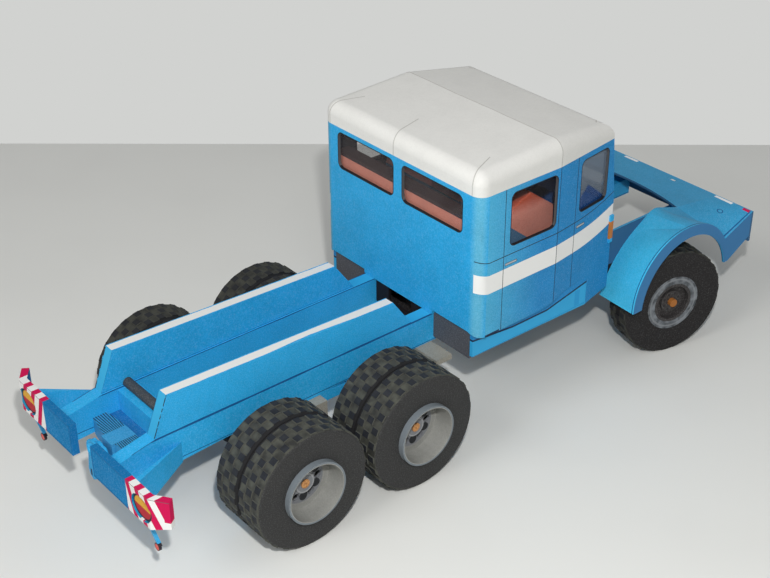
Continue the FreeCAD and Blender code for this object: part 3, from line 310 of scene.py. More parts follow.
# %% Floor
HORIZON_POINTS = [Vector((-19.5, 277.4, 0)) * MM, Vector((258.8, 38.8, 0)) * MM]
FLOOR_HALF = 3.0

along = (HORIZON_POINTS[1] - HORIZON_POINTS[0]).normalized()
away = Vector((-along.y, along.x, 0))
middle = HORIZON_POINTS[0] - away * FLOOR_HALF
shape = bmesh.new()
bmesh.ops.create_grid(shape, x_segments=1, y_segments=1, size=FLOOR_HALF)
turned = Matrix.Rotation(math.atan2(along.y, along.x), 4, "Z")
bmesh.ops.transform(shape, matrix=Matrix.Translation(middle) @ turned, verts=shape.verts)
mesh = bpy.data.meshes.new("floor")
shape.to_mesh(mesh)
shape.free()
floor = bpy.data.objects.new("floor", mesh)
bpy.context.scene.collection.objects.link(floor)
card = Finish("floor_card", ink(231, 231, 226), roughness=0.75)
card.shade((card.noise(60.0) - 0.45) * 3 | 0.0, 0.03)
card.height = card.noise(1.2)
card.bump = 0.05
mesh.materials.append(card.done())
print("floor ends at", [round(part / MM) for part in HORIZON_POINTS[0]])

# %% [markdown]
# ## Blue card
# Most sheets are printed in one sky blue. On paper such ink is a little cloudy and speckled, and
# thin dark lines mark where two sheets meet. Where a rail stands on its frame member, a dark band
# along the frame's top and on its ledge outside the rail is painted shadow of the rail. The blue is
# one colour darkened by noise, and the lines are bands on the place of a point. A sheet faces
# upwards or sideways where that part of its normal is larger than `FACING`.

# %% Blue card for the frame
BLUE = ink(38, 168, 226)
SIDE_BLUE = ink(18, 134, 198)
PALE_BLUE = ink(50, 168, 216)
DEEP_BLUE = ink(22, 84, 138)
DARK_INK = ink(30, 34, 44)
WHITE_INK = ink(230, 230, 227)
BLACK_INK = ink(26, 27, 32)
MAGENTA = ink(198, 22, 80)
FACING = 0.7
LEDGE = (-41.7, 0)
UPPER_EDGE = 39.5
OUTER_LEDGE_SHADE = (17.1, 38.0)
LOWER_FOLD = (29.4, 0.3)

plain = Finish("blue_card", BLUE).paper()
plain.done("rear_crossmember", *both("bogie_spring"), "board_braces")

frame_sheet = Finish("frame_sheet", BLUE).paper()
ledge = (frame_sheet.facing[2] > FACING) * between(frame_sheet.x, *LEDGE)
frame_sheet.print_on(ledge, PALE_BLUE)
# Painted shadow of the rail: a dark band along the top of the frame side, and a dark ledge outside the rail.
upright = abs(frame_sheet.facing[1]) > FACING
upper = UPPER_EDGE - frame_sheet.noise(20.0) * 0.5
frame_sheet.print_on(upright * (frame_sheet.z > upper), DEEP_BLUE)
outer = (frame_sheet.side > OUTER_LEDGE_SHADE[0]) * (frame_sheet.z > OUTER_LEDGE_SHADE[1])
frame_sheet.print_on((1 - upright) * outer, DEEP_BLUE)
frame_sheet.print_on(upright * line(frame_sheet.z, *LOWER_FOLD), DEEP_BLUE)
frame_sheet.done(*both("frame_side"))

# %% [markdown]
# ## Deck rails
# Each rail stands on its frame member and carries a white stripe along its top, with a thin blue
# edge on both sides. On the right rail the stripe was cut a little short in the middle, so more
# blue shows there. A dark band of painted shadow runs along each rail's foot.

# %% Deck rails
RAIL_MIDDLE = 15.2
RAIL_STRIPE = 3.2
RAIL_FOOT = 39.75
RAIL_OUTSIDE = 17.0
CUT_MIDDLE = -54.0
CUT_REACH = 17.0
RAIL_END = (13.3, 16.8)

rail = Finish("rail_sheet", BLUE).paper()
top = rail.facing[2] > 0.9
outer = rail.side > RAIL_OUTSIDE
# Painted shadow: the rail's sides are dark blue below the foot height, with a wavy edge outside.
foot = RAIL_FOOT + outer * (rail.noise(20.0) * 0.7 - 0.35)
rail.print_on((rail.z < foot) * (1 - top), DEEP_BLUE)
short_cut = (1 - abs(rail.x - CUT_MIDDLE) / CUT_REACH | 0.0) * (rail.y < 0.0) * 0.9
short_cut = short_cut + (rail.noise(7.0) - 0.5) * 0.5
outer_edge = RAIL_MIDDLE + RAIL_STRIPE / 2 - short_cut
rail.print_on(top * (rail.side > RAIL_MIDDLE - RAIL_STRIPE / 2) * (rail.side < outer_edge), WHITE_INK)
rear_end = (rail.facing[0] < -0.5) * (1 - top)
rail.print_on(rear_end, ink(54, 168, 214))
rail.print_on(rear_end * (rail.side > RAIL_END[1]) * (rail.noise(1.0) > 0.44), DARK_INK)
rail.print_on(rear_end * (rail.side < RAIL_END[0]), DEEP_BLUE)
rail.done(*both("deck_rail"))

# %% [markdown]
# ## Tow step
# The step between the arms is printed with fine dark ridges on both wings, fanned out from the
# middle band, which stays plain. The ridges are the remainder of a length divided by their pitch,
# and the length is stretched with the distance from the band. The roller, which lies across the
# frame in front of the step, is plain dark card.

# %% Tow step and roller
STEP_MIDDLE = -114.0
BAND_HALF = 3.0
RIDGE_FAN = 0.03
RIDGE_PITCH = 0.66
RIDGE_SHARE = 0.42

step = Finish("step_sheet", ink(56, 154, 204)).paper()
wing = (step.facing[2] > FACING) * (step.side > BAND_HALF)
spread = (step.x - STEP_MIDDLE) / (1 + (step.side - BAND_HALF) * RIDGE_FAN)
step.print_on(wing * 0.2, ink(34, 92, 122))
step.print_on(wing * ((spread / RIDGE_PITCH % 1) < RIDGE_SHARE), ink(22, 48, 68))
step.done("tow_step")

roller = Finish("roller_card", ink(58, 62, 66)).paper()
roller.done("deck_roller")

# %% [markdown]
# ## Rear boards
# The outer half of each board is a warning pattern of slanted magenta and white stripes, and the
# inner half is blue with a darker border. The stripes come from one sum, the distance from the
# middle plus a share of the height, which repeats with `%`. The two halves were cut from the sheet
# in different places, so each has its own first stripe and its own tip.

# %% Rear boards
BOARD_TOP = 38.5
BOARD_BORDER = (28.3, 37.7)
BOARD_INNER = 7.0
STRIPE_SLANT = 0.33
STRIPE_PAIR = 5.05
STRIPE_SHARE = 0.46
TIP_EDGE = 41.4
LAMP_WALL = ((28.4, 38.2), (28.5, 36.7))
LAMP_WALL_REAR = -125.2


def striped_board(side, start, first, last_white, tip_foot, tip_mark):
    """The sheet of one board, whose stripes begin at start and are counted from first.

    The last white stripe lies between the two numbers of last_white. The tip is white up to the
    height tip_foot and magenta from there up to tip_mark.
    """
    board = Finish(f"board_sheet_{side}", ink(12, 124, 182), 0.8, 0.12).paper()
    slanted = board.side - (BOARD_TOP - board.z) * STRIPE_SLANT
    seen_face = (board.facing[0] < -0.2) | (board.facing[2] > FACING)
    low, high = BOARD_BORDER
    border = (board.z > high) | (board.z < low) | (board.side < BOARD_INNER)
    board.print_on(border * 0.35, DEEP_BLUE)
    striped = seen_face * (board.side > start)
    board.print_on(striped, WHITE_INK)
    magenta = (((slanted - first) / STRIPE_PAIR % 1) < STRIPE_SHARE) * (slanted < last_white[0])
    magenta = magenta | (slanted > last_white[1])
    board.print_on(striped * magenta, MAGENTA)
    tip = board.side > TIP_EDGE
    board.print_on(tip * (board.z < tip_foot), WHITE_INK)
    board.print_on(tip * (board.z > tip_foot) * (board.z < tip_mark), MAGENTA)
    across, up = LAMP_WALL
    lamp_wall = between(board.side, *across) * between(board.z, *up) * (board.facing[0] > -0.5)
    board.print_on(lamp_wall * (board.x < LAMP_WALL_REAR), ink(34, 136, 172))
    board.print_on(line(board.z, BOARD_TOP - 0.15, 0.18) * striped, ink(96, 90, 96))
    return board


left = striped_board("left", start=22.5, first=22.2, last_white=(35.4, 38.4), tip_foot=36.0, tip_mark=36.0)
left.done("rear_board_left")
right = striped_board("right", start=25.8, first=25.4, last_white=(37.5, 39.3), tip_foot=31.2, tip_mark=40.0)
right.done("rear_board_right")

# %% [markdown]
# ## Lamps and reflectors
# The lamps on the boards are printed too, amber above and red below, within a dark oval edge. From
# each board hangs a leaning post, with a small round reflector at its foot that is red within a dark
# rim. Both prints are distances from a middle, compared with a radius.

# %% Lamps and reflectors
LAMP_MIDDLE = (33.3, 32.6)
LAMP_HALF = (4.8, 3.9)
LAMP_EDGE = 0.78
REFLECTOR_MIDDLE = (34.0, 17.0)
REFLECTOR_BAND = (15.6, 18.4)
REFLECTOR_RIM = 1.5
REFLECTOR_RADIUS = 1.05

lamp = Finish("lamp_print", ink(222, 166, 52), 0.6, 0.12).paper(0.05)
lamp.print_on(lamp.z < LAMP_MIDDLE[1], ink(178, 44, 54))
across = abs(lamp.side - LAMP_MIDDLE[0]) / LAMP_HALF[0]
up = abs(lamp.z - LAMP_MIDDLE[1]) / LAMP_HALF[1]
lamp.print_on((across * across + up * up) > LAMP_EDGE, ink(36, 48, 60))
lamp.done("rear_lamps")

reflector = Finish("reflector_print", BLUE, roughness=0.45).paper()
across, up = reflector.side - REFLECTOR_MIDDLE[0], reflector.z - REFLECTOR_MIDDLE[1]
ring = (across ** 2 + up * up) ** 0.5
band = between(reflector.z, *REFLECTOR_BAND)
reflector.print_on(band * (ring < REFLECTOR_RIM), ink(40, 32, 40))
backwards = reflector.facing[0] < -0.5
reflector.print_on(band * (ring < REFLECTOR_RADIUS) * backwards, ink(214, 84, 74))
reflector.done("rear_reflectors")

# %% [markdown]
# ## Cab walls
# The walls carry a white stripe with a thin belt line above it, the outlines of the doors, two
# handles and a dark edge round every window. The stripe climbs a little towards the bonnet and
# ends on the round rear corner. Each line is placed by its height and its station along the truck,
# so it runs on over the corner by itself.

# %% Cab side walls
def card_frame(finish, across, up, low, high, radius):
    """The signed distance from the edge of a window with round corners: negative inside."""
    (left, foot), (right, head) = low, high
    out = abs(across - (left + right) / 2) - ((right - left) / 2 - radius)
    over = abs(up - (foot + head) / 2) - ((head - foot) / 2 - radius)
    corner = ((out | 0.0) ** 2 + (over | 0.0) ** 2) ** 0.5
    return corner + ((out | over) & 0.0) - radius


OUTSIDE = 33.0
FOOT_HEIGHT = 36.0
FOOT_LEVEL = (14.0, 30.0)
FOOT_SLOPES = (0.1, 0.21)
FOOT_FRONT = 49.0
# A dark blue for the walls' foot line, partly print and partly painted shade under the walls' edge.
FOOT_LINE_AND_SHADE = ink(16, 40, 72)


def wall_foot(sheet):
    """A paler sheet under the walls' dark end line, part print, part painted shade, rising at both ends."""
    behind, ahead = (FOOT_LEVEL[0] - sheet.x | 0.0), (sheet.x - FOOT_LEVEL[1] | 0.0)
    foot = FOOT_HEIGHT + behind * FOOT_SLOPES[0] + ahead * FOOT_SLOPES[1]
    on_wall = (sheet.side > OUTSIDE) * (sheet.x < FOOT_FRONT)
    sheet.print_on((sheet.z < foot) * on_wall, ink(48, 162, 214))
    sheet.print_on(line(sheet.z, foot, 0.7) * on_wall, FOOT_LINE_AND_SHADE)


STRIPE = (55.3, 62.0)
FRONT_RISE = (39.25, 20.7, 3.0)
REAR_RISE = (-0.5, 4.4, 1.2)
BELT = 66.7
DOOR_LINES = (5.75, 30.0, 39.3)
HANDLES = ((6.4, 11.75, 63.5), (40.3, 44.8, 64.5))
HANDLE_HALF = 0.5
HANDLE_CORNER = 0.3
SIDE_WINDOWS = (((8.45, 69.6), (28.65, 88.2)), ((41.45, 69.6), (56.25, 88.2)))
WINDOW_CORNER = 2.0
WINDOW_EDGE = 0.32
CUT_EDGE = 0.05
REAR_FOOT_SHADE = (5.0, 40.0)
CUT_CARD = ink(84, 84, 86)
# Painted shade: a near black for the inner faces of the cab's walls and roof, for the dark inside.
INSIDE_SHADE = ink(32, 32, 40)


def cab_stripe(wall, ends):
    """The white stripe and the belt line, which rise to the front and at the rear corner."""
    start, reach, rise = FRONT_RISE
    ahead = (wall.x - start | 0.0) / reach
    level = wall.z - ahead * ahead * rise
    start, reach, rise = REAR_RISE
    level = level - (start - wall.x | 0.0) / reach * rise
    wall.print_on(ends * between(level, *STRIPE), WHITE_INK)
    wall.print_on(ends * line(level, BELT, 0.3), DARK_INK)


side_wall = Finish("cab_side_sheet", BLUE)
# Painted light and shade: the side walls are paler at the rear, where the window's light falls, and a darker
# blue towards the front.
side_wall.colour = side_wall.mix((side_wall.x + 3.0) / 26, ink(72, 174, 214), ink(22, 132, 194))
side_wall.paper()
cab_stripe(side_wall, side_wall.side > OUTSIDE)
for station in DOOR_LINES:
    side_wall.print_on(line(side_wall.x, station, 0.25), DARK_INK)
wall_foot(side_wall)
# Painted shade: a dark patch low on the rear corner of the side walls, under the wall's edge.
side_wall.print_on((side_wall.z < REAR_FOOT_SHADE[1]) * (side_wall.x < REAR_FOOT_SHADE[0]), FOOT_LINE_AND_SHADE)
for rear, front, height in HANDLES:
    low, high = (rear, height - HANDLE_HALF), (front, height + HANDLE_HALF)
    grip = card_frame(side_wall, side_wall.x, side_wall.z, low, high, HANDLE_CORNER)
    side_wall.print_on(grip < 0.0, ink(40, 52, 62))
    side_wall.print_on(grip < -0.18, ink(168, 176, 180))
for low, high in SIDE_WINDOWS:
    edge = card_frame(side_wall, side_wall.x, side_wall.z, low, high, WINDOW_CORNER)
    side_wall.print_on(edge < WINDOW_EDGE, BLACK_INK)
    side_wall.print_on((edge < CUT_EDGE) * (abs(side_wall.facing[0]) > FACING), CUT_CARD)
# Painted shade: the side walls' inner faces are near black.
side_wall.print_on(side_wall.facing[1] * side_wall.y < -15.0, INSIDE_SHADE)
side_wall.done(*both("cab_side"))

# %% Cab rear and front walls
REAR_WINDOW = ((2.3, 75.7), (31.0, 88.7))
SCREEN = ((-31.0, 70.5), (31.0, 88.0))
CORNER_START = 36.6

rear_wall = Finish("cab_rear_sheet", BLUE)
# Painted highlight: the round rear corners are paler where they turn towards the lamp.
rounded = abs(rear_wall.facing[0] * rear_wall.facing[1]) * 2.2
rear_wall.colour = rear_wall.mix(rounded & 1.0, BLUE, ink(84, 172, 206))
rear_wall.paper()
cab_stripe(rear_wall, rear_wall.side > CORNER_START)
edge = card_frame(rear_wall, rear_wall.side, rear_wall.z, *REAR_WINDOW, WINDOW_CORNER)
rear_wall.print_on(edge < WINDOW_EDGE, BLACK_INK)
rear_wall.print_on((edge < CUT_EDGE) * (abs(rear_wall.facing[1]) > FACING), CUT_CARD)
# Painted shade: the rear wall's inner face is near black.
rear_wall.print_on(rear_wall.facing[0] > 0.5, INSIDE_SHADE)
rear_wall.done("cab_rear_wall")

front_wall = Finish("cab_front_sheet", BLUE).paper()
edge = card_frame(front_wall, front_wall.side, front_wall.z, *SCREEN, WINDOW_CORNER)
front_wall.print_on(edge < WINDOW_EDGE, BLACK_INK)
front_wall.print_on(line(front_wall.z, BELT, 0.3), DARK_INK)
# Painted shade: the front wall's inner face round the screen is near black.
front_wall.print_on((front_wall.facing[0] < -0.5) * (edge > 0.2), INSIDE_SHADE)
front_wall.done("cab_front_wall")

# %% [markdown]
# ## Roof
# The roof is bare white card, rounded over the eaves. It is glued from a rear and a front half,
# and its corners are closed with darts, so thin grey seams show. Each seam is a line on the place
# of a point, a little darker, and lower than the sheet round it.

# %% Roof
ROOF_SEAM = 30.4
DARTS = [((-6.0, 2.0), (8.0, 5.0)), ((-5.25, -35.3), (6.3, -30.6)), ((-5.25, 35.3), (6.3, 30.6)),
         ((54.0, -30.7), (57.4, -27.8)), ((54.0, 30.7), (57.4, 27.8))]
DART_WIDTH = 0.4

roof = Finish("roof_card", ink(229, 228, 223), roughness=0.6).paper(0.04, speckle=0.05, bump=0.12)


def seam(finish, start, end, width):
    """1 near a straight run between two points seen from above."""
    (x0, y0), (x1, y1) = start, end
    length = math.hypot(x1 - x0, y1 - y0)
    ux, uy = (x1 - x0) / length, (y1 - y0) / length
    along = (finish.x - x0) * ux + (finish.y - y0) * uy
    off = abs((finish.y - y0) * ux - (finish.x - x0) * uy)
    return between(along, 0.0, length) * (off < width / 2)


seams = line(roof.x + roof.noise(12.0) * 0.8, ROOF_SEAM, 0.35)
for start, end in DARTS:
    seams = seams | seam(roof, start, end, DART_WIDTH)
roof.print_on(seams * 0.55, ink(150, 146, 138))
# Painted shade: the roof's sides, which face sideways, are a little darker than its top.
roof.shade(abs(roof.facing[1]), 0.12)
# Painted shade: the roof's underside is near black.
roof.print_on(roof.facing[2] < -0.2, INSIDE_SHADE)
roof.height = roof.height - seams * 2
roof.done("cab_roof")

# %% [markdown]
# ## Windows and inside
# The panes are clear film, and behind them stand salmon seats on a grey floor. The film is nearly
# see-through with a soft gloss, by its Alpha, as glass would be too heavy for such a thin sheet. It
# is hazier in front, and low in the front side panes lies a blue patch.

# %% Films
FRONT_PANES = (35.0, 58.0)
REAR_PANE = 1.0
PATCH_PEAK = (47.0, 77.5)

film = Finish("clear_film", ink(110, 122, 134), roughness=0.06)
ahead = film.x > FRONT_PANES[0]
hazy = ahead * (0.30 + (film.z - 70.0) * 0.012)
hazy = hazy + (film.x < REAR_PANE) * 0.10 + film.noise(8.0) * 0.08 + 0.03
film.tree.links.new(hazy.socket, film.shader.inputs["Alpha"])
film.colour = film.mix(ahead, ink(96, 92, 94), ink(120, 134, 150))
patch_top = PATCH_PEAK[1] - abs(film.x - PATCH_PEAK[0]) * 0.8
film.print_on(between(film.x, *FRONT_PANES) * (film.z < patch_top), ink(40, 84, 148))
film.done("window_films")

# %% Bench, floor, axles and dashboard
BENCH_TOP_SHADE = (10.0, 79.2)

seats = Finish("seat_print", ink(250, 158, 134)).paper(0.12)
# Painted shade: the top of the bench is dark brown, for the dark inside above it.
seats.print_on((seats.x < BENCH_TOP_SHADE[0]) * (seats.z > BENCH_TOP_SHADE[1]), ink(66, 48, 46))
seats.done("rear_bench")
grey = Finish("grey_card", ink(150, 147, 136)).paper(0.12)
grey.done("cab_floor", "chassis_boxes")
underframe = Finish("underframe_card", ink(80, 82, 88)).paper(0.12)
# Painted shade: between the frame members, under the cab's rear wall, the underframe is near black.
underframe.print_on(underframe.side < 17.2, ink(22, 18, 20))
underframe.done("cab_underframe")
dark = Finish("dark_card", ink(70, 73, 80)).paper(0.12)
dark.done("front_axle_beam", *both("steering_knuckle"), "tie_rod", "rear_axle_beam", "mid_axle_beam")
dashboard = Finish("dashboard_print", ink(30, 84, 146)).paper()
dashboard.done("dashboard")
amber = Finish("amber_print", BLUE, roughness=0.4).paper(0.06)
amber.print_on(between(amber.z, 52.3, 59.0), ink(190, 116, 46))
amber.done("turn_lamps")

# %% [markdown]
# ## Sills, fenders and front plate
# The walls of the cab end in a dark line that dips and climbs again across the sills, with a paler
# sheet under it; the line is partly printed and partly painted shade under the walls' edge. The
# fenders have a dark fold along their outer edge, and the front plate has small white and magenta
# patches on its edge. Painted light makes the fenders paler on their rear slope, and painted shade
# darkens the sideways faces of the fenders, front plate and apron and the plate's backward faces.

# %% Sills and fenders
sill = Finish("sill_sheet", SIDE_BLUE).paper()
wall_foot(sill)
sill.print_on(line(sill.z, 31.6, 0.3), SIDE_BLUE)
sill.print_on(line(sill.x, 44.6, 2.4) * line(sill.z, 35.0, 6.0) * 0.5, SIDE_BLUE)
sill.done(*both("sill"))


FRONT_RIM = (125.7, 127.1)
WHITE_PATCHES = ((9.4, 16.0), (-37.0, -29.0))
MAGENTA_PATCH = (-45.0, -42.0)
SMALL_PATCH = ((124.1, 1.1), (-10.5, 1.9))
RING_MIDDLE = (119.1, -37.2)
RING_RADIUS = 1.0


def front_marks(sheet):
    """White and magenta patches on the front edge, a small patch and a ring behind it."""
    upper = sheet.facing[2] > 0.5
    rim = upper * between(sheet.x, *FRONT_RIM)
    left, right = [between(sheet.y, *patch) for patch in WHITE_PATCHES]
    sheet.print_on(rim * (left | right), ink(246, 247, 247))
    sheet.print_on(rim * between(sheet.y, *MAGENTA_PATCH), MAGENTA)
    along, over = SMALL_PATCH
    sheet.print_on(upper * line(sheet.x, *along) * line(sheet.y, *over), WHITE_INK)
    ahead, over = sheet.x - RING_MIDDLE[0], sheet.y - RING_MIDDLE[1]
    sheet.print_on(upper * line((ahead * ahead + over * over) ** 0.5, RING_RADIUS, 0.35), DEEP_BLUE)


NOSE_BLUE = ink(56, 160, 208)
FENDER_FOLD = (45.2, 0.45)

fender = Finish("fender_sheet", BLUE)
# Painted light: the fenders are paler on their rear slope, towards the cab.
fender.colour = fender.mix((98.0 - fender.x) / 24, NOSE_BLUE, ink(62, 192, 236))
fender.paper()
fender.print_on(line(fender.side, *FENDER_FOLD), DEEP_BLUE)
# Painted shade: the fenders' sideways faces, the lips, are a darker blue.
fender.print_on(abs(fender.facing[1]) > FACING, ink(54, 119, 171))
front_marks(fender)
fender.done(*both("fender"))

nose = Finish("nose_sheet", NOSE_BLUE).paper()
front_marks(nose)
# Painted shade: the sideways and backward faces of the front plate, apron and fender walls are darker.
nose.print_on((nose.facing[0] < -0.5) | (abs(nose.facing[1]) > FACING), ink(55, 98, 134))
nose.done("front_plate", "front_apron", "fender_walls")

# %% [markdown]
# ## Small sheets of the scene
# Two small sheets are made here and not in the CAD frame. A sheet of near black card lies between
# the frame members under the cab's rear; it is painted shade, so no lit floor shows through. A
# narrow blue strip closes the gap before the tow step. Each is a folded line, drawn out sideways
# with `extrude_edge_only` and given the card's thickness with `solidify`.

# %% Sheets from a folded line
def add_piece(name, shape, material, body, slot, *nodes):
    """Turn a bmesh into a piece that rides on a body, in place of CAD nodes if any are named."""
    mesh = bpy.data.meshes.new(name)
    shape.to_mesh(mesh)
    shape.free()
    mesh.materials.append(material)
    piece = bpy.data.objects.new(name, mesh)
    bpy.context.scene.collection.objects.link(piece)
    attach(piece, body)
    if nodes:
        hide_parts(*nodes)
    return piece


def only(kind, geometry):
    """The parts of one kind that an operator gave back."""
    return [part for part in geometry if isinstance(part, kind)]


def folded_sheet(name, fold_line, draw, thickness, material, slot):
    """A sheet folded along a line of points, drawn out sideways, in millimetres."""
    shape = bmesh.new()
    points = [shape.verts.new(Vector(point) * MM) for point in fold_line]
    edges = [shape.edges.new(pair) for pair in zip(points, points[1:])]
    drawn = bmesh.ops.extrude_edge_only(shape, edges=edges)["geom"]
    bmesh.ops.translate(shape, vec=Vector(draw) * MM, verts=only(bmesh.types.BMVert, drawn))
    bmesh.ops.recalc_face_normals(shape, faces=shape.faces)
    bmesh.ops.solidify(shape, geom=shape.faces, thickness=thickness * MM)
    piece = add_piece(name, shape, material, "chassis", slot)
    print(name, "has", len(piece.data.polygons), "faces")


CARD = 0.3
UNDER_LINE = [(-4.0, -12.7, 34.0), (-4.0, -12.7, 29.6), (-4.0, 12.7, 29.6), (-4.0, 12.7, 34.0)]
UNDER_LENGTH = 22.0
STRIP_LINE = [(-111.2, -12.7, 31.6), (-106.8, -12.7, 31.6), (-106.8, -12.7, 33.0)]
STRIP_WIDTH = 25.4

# Painted shade: a near black card under the cab's rear.
under_shade_card = Finish("under_shade_card", ink(34, 30, 30)).paper()
folded_sheet("under_shade_card", UNDER_LINE, (UNDER_LENGTH, 0.0, 0.0), CARD, under_shade_card.done(), "dark_card")
strip = Finish("step_strip", ink(16, 108, 166)).paper()
folded_sheet("step_strip", STRIP_LINE, (0.0, STRIP_WIDTH, 0.0), CARD, strip.done(), "blue_card")

# %% [markdown]
# ## Tow coupling
# Between the boards hangs a small shield with a lobe on its left and a round horn on it, into which
# a drawbar would slide. The shield's outline is a flat face, drawn out with `extrude_face_region`
# and bevelled a little. The horn is a funnel: one half of its section, spun once round its axis.

# %% Tow coupling
def drawn_outline(points, draw, bevel):
    """A bmesh of a flat outline, drawn out and bevelled, in millimetres."""
    shape = bmesh.new()
    corners = [shape.verts.new(Vector(point) * MM) for point in points]
    rim = [shape.edges.new(pair) for pair in zip(corners, corners[1:] + corners[:1])]
    outline = bmesh.ops.contextual_create(shape, geom=rim)["faces"]
    drawn = bmesh.ops.extrude_face_region(shape, geom=outline)["geom"]
    bmesh.ops.translate(shape, vec=Vector(draw) * MM, verts=only(bmesh.types.BMVert, drawn))
    bmesh.ops.recalc_face_normals(shape, faces=shape.faces)
    bmesh.ops.bevel(shape, geom=shape.edges, offset=bevel * MM, segments=2, profile=0.5,
                    affect="EDGES", material=-1)
    return shape


def join(shape, other):
    """Move all of another bmesh into this one."""
    part = bpy.data.meshes.new("part")
    other.to_mesh(part)
    other.free()
    shape.from_mesh(part)
    bpy.data.meshes.remove(part)


SHIELD = [(3.6, 17.4), (5.4, 16.2), (7.2, 17.2), (7.9, 19.5), (6.6, 27.0), (5.2, 29.8), (3.4, 33.0),
          (-3.4, 33.0), (-5.6, 29.5), (-7.7, 26.5), (-7.7, 22.0), (-5.4, 20.0), (2.6, 20.0)]
SHIELD_REAR = -122.25
SHIELD_THICKNESS = 1.4
SHIELD_BEVEL = 0.25
SLOT = ((6.1, 0.9), (18.9, 2.4))
SLOT_FACE = -121.8
HORN_CENTRE = Vector((0.0, 0.0, 30.6))
HORN_SECTION = [(-120.9, 2.8), (-122.3, 3.1), (-123.1, 4.25), (-123.6, 4.25), (-123.6, 3.6), (-122.9, 2.6),
                (-122.6, 1.1), (-120.9, 1.1)]
HORN_STEPS = 48
HORN_HOLE = 1.2

flat = [(SHIELD_REAR, over, up) for over, up in SHIELD]
coupling = drawn_outline(flat, (SHIELD_THICKNESS, 0.0, 0.0), SHIELD_BEVEL)
horn = bmesh.new()
places = [Vector((along, 0, out)) * MM + HORN_CENTRE * MM for along, out in HORN_SECTION]
section = [horn.verts.new(place) for place in places]
edges = [horn.edges.new(pair) for pair in zip(section, section[1:] + section[:1])]
bmesh.ops.spin(horn, geom=section + edges, cent=HORN_CENTRE * MM, axis=(1, 0, 0), angle=math.tau,
               steps=HORN_STEPS, use_merge=True)
bmesh.ops.recalc_face_normals(horn, faces=horn.faces)
join(coupling, horn)
shield = Finish("coupling_sheet", BLUE).paper()
across, up = SLOT
slot = (shield.x < SLOT_FACE) * line(shield.y, *across) * line(shield.z, *up)
shield.print_on(slot, ink(18, 36, 62))
# Painted shade: the horn's throat, near its axis, is near black.
off_axis = (shield.y * shield.y + (shield.z - HORN_CENTRE.z) ** 2) ** 0.5
shield.print_on(off_axis < HORN_HOLE, ink(18, 30, 46))
piece = add_piece("coupling", coupling, shield.done(), "chassis", "blue_card", "tow_coupling")
print(piece.name, "has", len(piece.data.polygons), "faces")

# %% [markdown]
# ## Front seats
# The front seats have a high back whose top slopes down to the front. Seen from the side that is
# one outline, so each seat is the outline drawn out to the seat's width, and it takes the place of
# the plain seat in the CAD frame. The print fades from salmon to brown and is blue low down.

# %% Front seats
SEAT_OUTLINE = [(15.0, 43.4), (15.0, 68.0), (17.0, 77.2), (25.0, 80.2), (36.0, 72.0), (37.0, 43.4)]
SEAT_INNER = 7.0
SEAT_WIDTH = 24.0
SEAT_BEVEL = 0.5

seat_card = Finish("front_seat_print", ink(190, 104, 84))
seat_card.colour = seat_card.mix((seat_card.z - 74.0) / 4, ink(226, 144, 126), ink(196, 84, 54))
seat_card.paper(0.12)
seat_card.print_on(seat_card.z < 69.8 - (seat_card.x - 16.8) * 0.8, ink(74, 116, 150))
seat_card.done()
for side_name, side in (("left", 1), ("right", -1)):
    outline = [(along, SEAT_INNER * side, up) for along, up in SEAT_OUTLINE]
    shape = drawn_outline(outline, (0.0, SEAT_WIDTH * side, 0.0), SEAT_BEVEL)
    seat = add_piece(f"seat_{side_name}", shape, seat_card.material, "chassis", "seat_card",
                     f"front_seat_{side_name}")
    print(seat.name, "has", len(seat.data.polygons), "faces")

# %% [markdown]
# ## Wheels
# Each rear rim is a deep grey dish with six dark holes and a bluish ring at its mouth, and the front
# rims are darker, with small bolts round the brown end of their axle. The ink depends on the
# distance from the wheel's axis, worked out in the wheel's own plane: the front wheels are steered,
# so their plane is turned first.

# %% Rims
TYRE_RADIUS = 20.5
REAR_AXLE = -76.95
MID_AXLE = -33.25
FRONT_AXLE = 89.75
KINGPIN_SIDE = 33.5
STEER = math.radians(-15)
RING_START = 10.0
DISH_SHADE = (8.4, 1.2)
DISH_FLOOR = 7.6
HUB_RING = (2.9, 3.9)
HOLES = (6, 5.6, 1.55)
BOLTS = (8, 3.2, 0.5)
FRONT_DISH = 7.7
FRONT_RING = (9.5, 0.7)
CAP_RADIUS = 1.5


def wheel_plane(finish, axle, turn=0.0, side=0.0):
    """Distance from the wheel's axis, and angle round it as a share of a full turn."""
    out, over = finish.x - axle, finish.y - side
    rolling = out * math.cos(turn) + over * math.sin(turn)
    up = finish.z - TYRE_RADIUS
    reach = (rolling * rolling + up * up) ** 0.5
    angle = finish.node("Math", {"operation": "ARCTAN2"}, {0: up, 1: rolling}) / math.tau
    return reach, angle


def round_marks(reach, angle, count, circle, radius):
    """1 within a number of round marks, spread evenly on a circle round the axis."""
    away = abs(angle * count % 1 - 0.5) * reach * math.tau / count
    return ((reach - circle) ** 2 + away * away) ** 0.5 < radius


def rim_finish(name, axle):
    """Grey dish, bluish ring and dark holes of one rear axle's rims."""
    rim = Finish(name, ink(152, 152, 147), roughness=0.5).paper(0.14, speckle=0.08)
    reach, angle = wheel_plane(rim, axle)
    circle, width = DISH_SHADE
    # Painted shade: a darker ring on the dish's wall, between its floor and the bluish ring.
    rim.shade((1 - abs(reach - circle) / width | 0.0), 0.12)
    rim.print_on((reach > RING_START) * 0.9, ink(108, 117, 124))
    rim.print_on(reach < DISH_FLOOR, ink(122, 124, 128))
    rim.print_on(between(reach, *HUB_RING), ink(150, 152, 154))
    rim.print_on(round_marks(reach, angle, *HOLES), ink(34, 36, 40))
    return rim


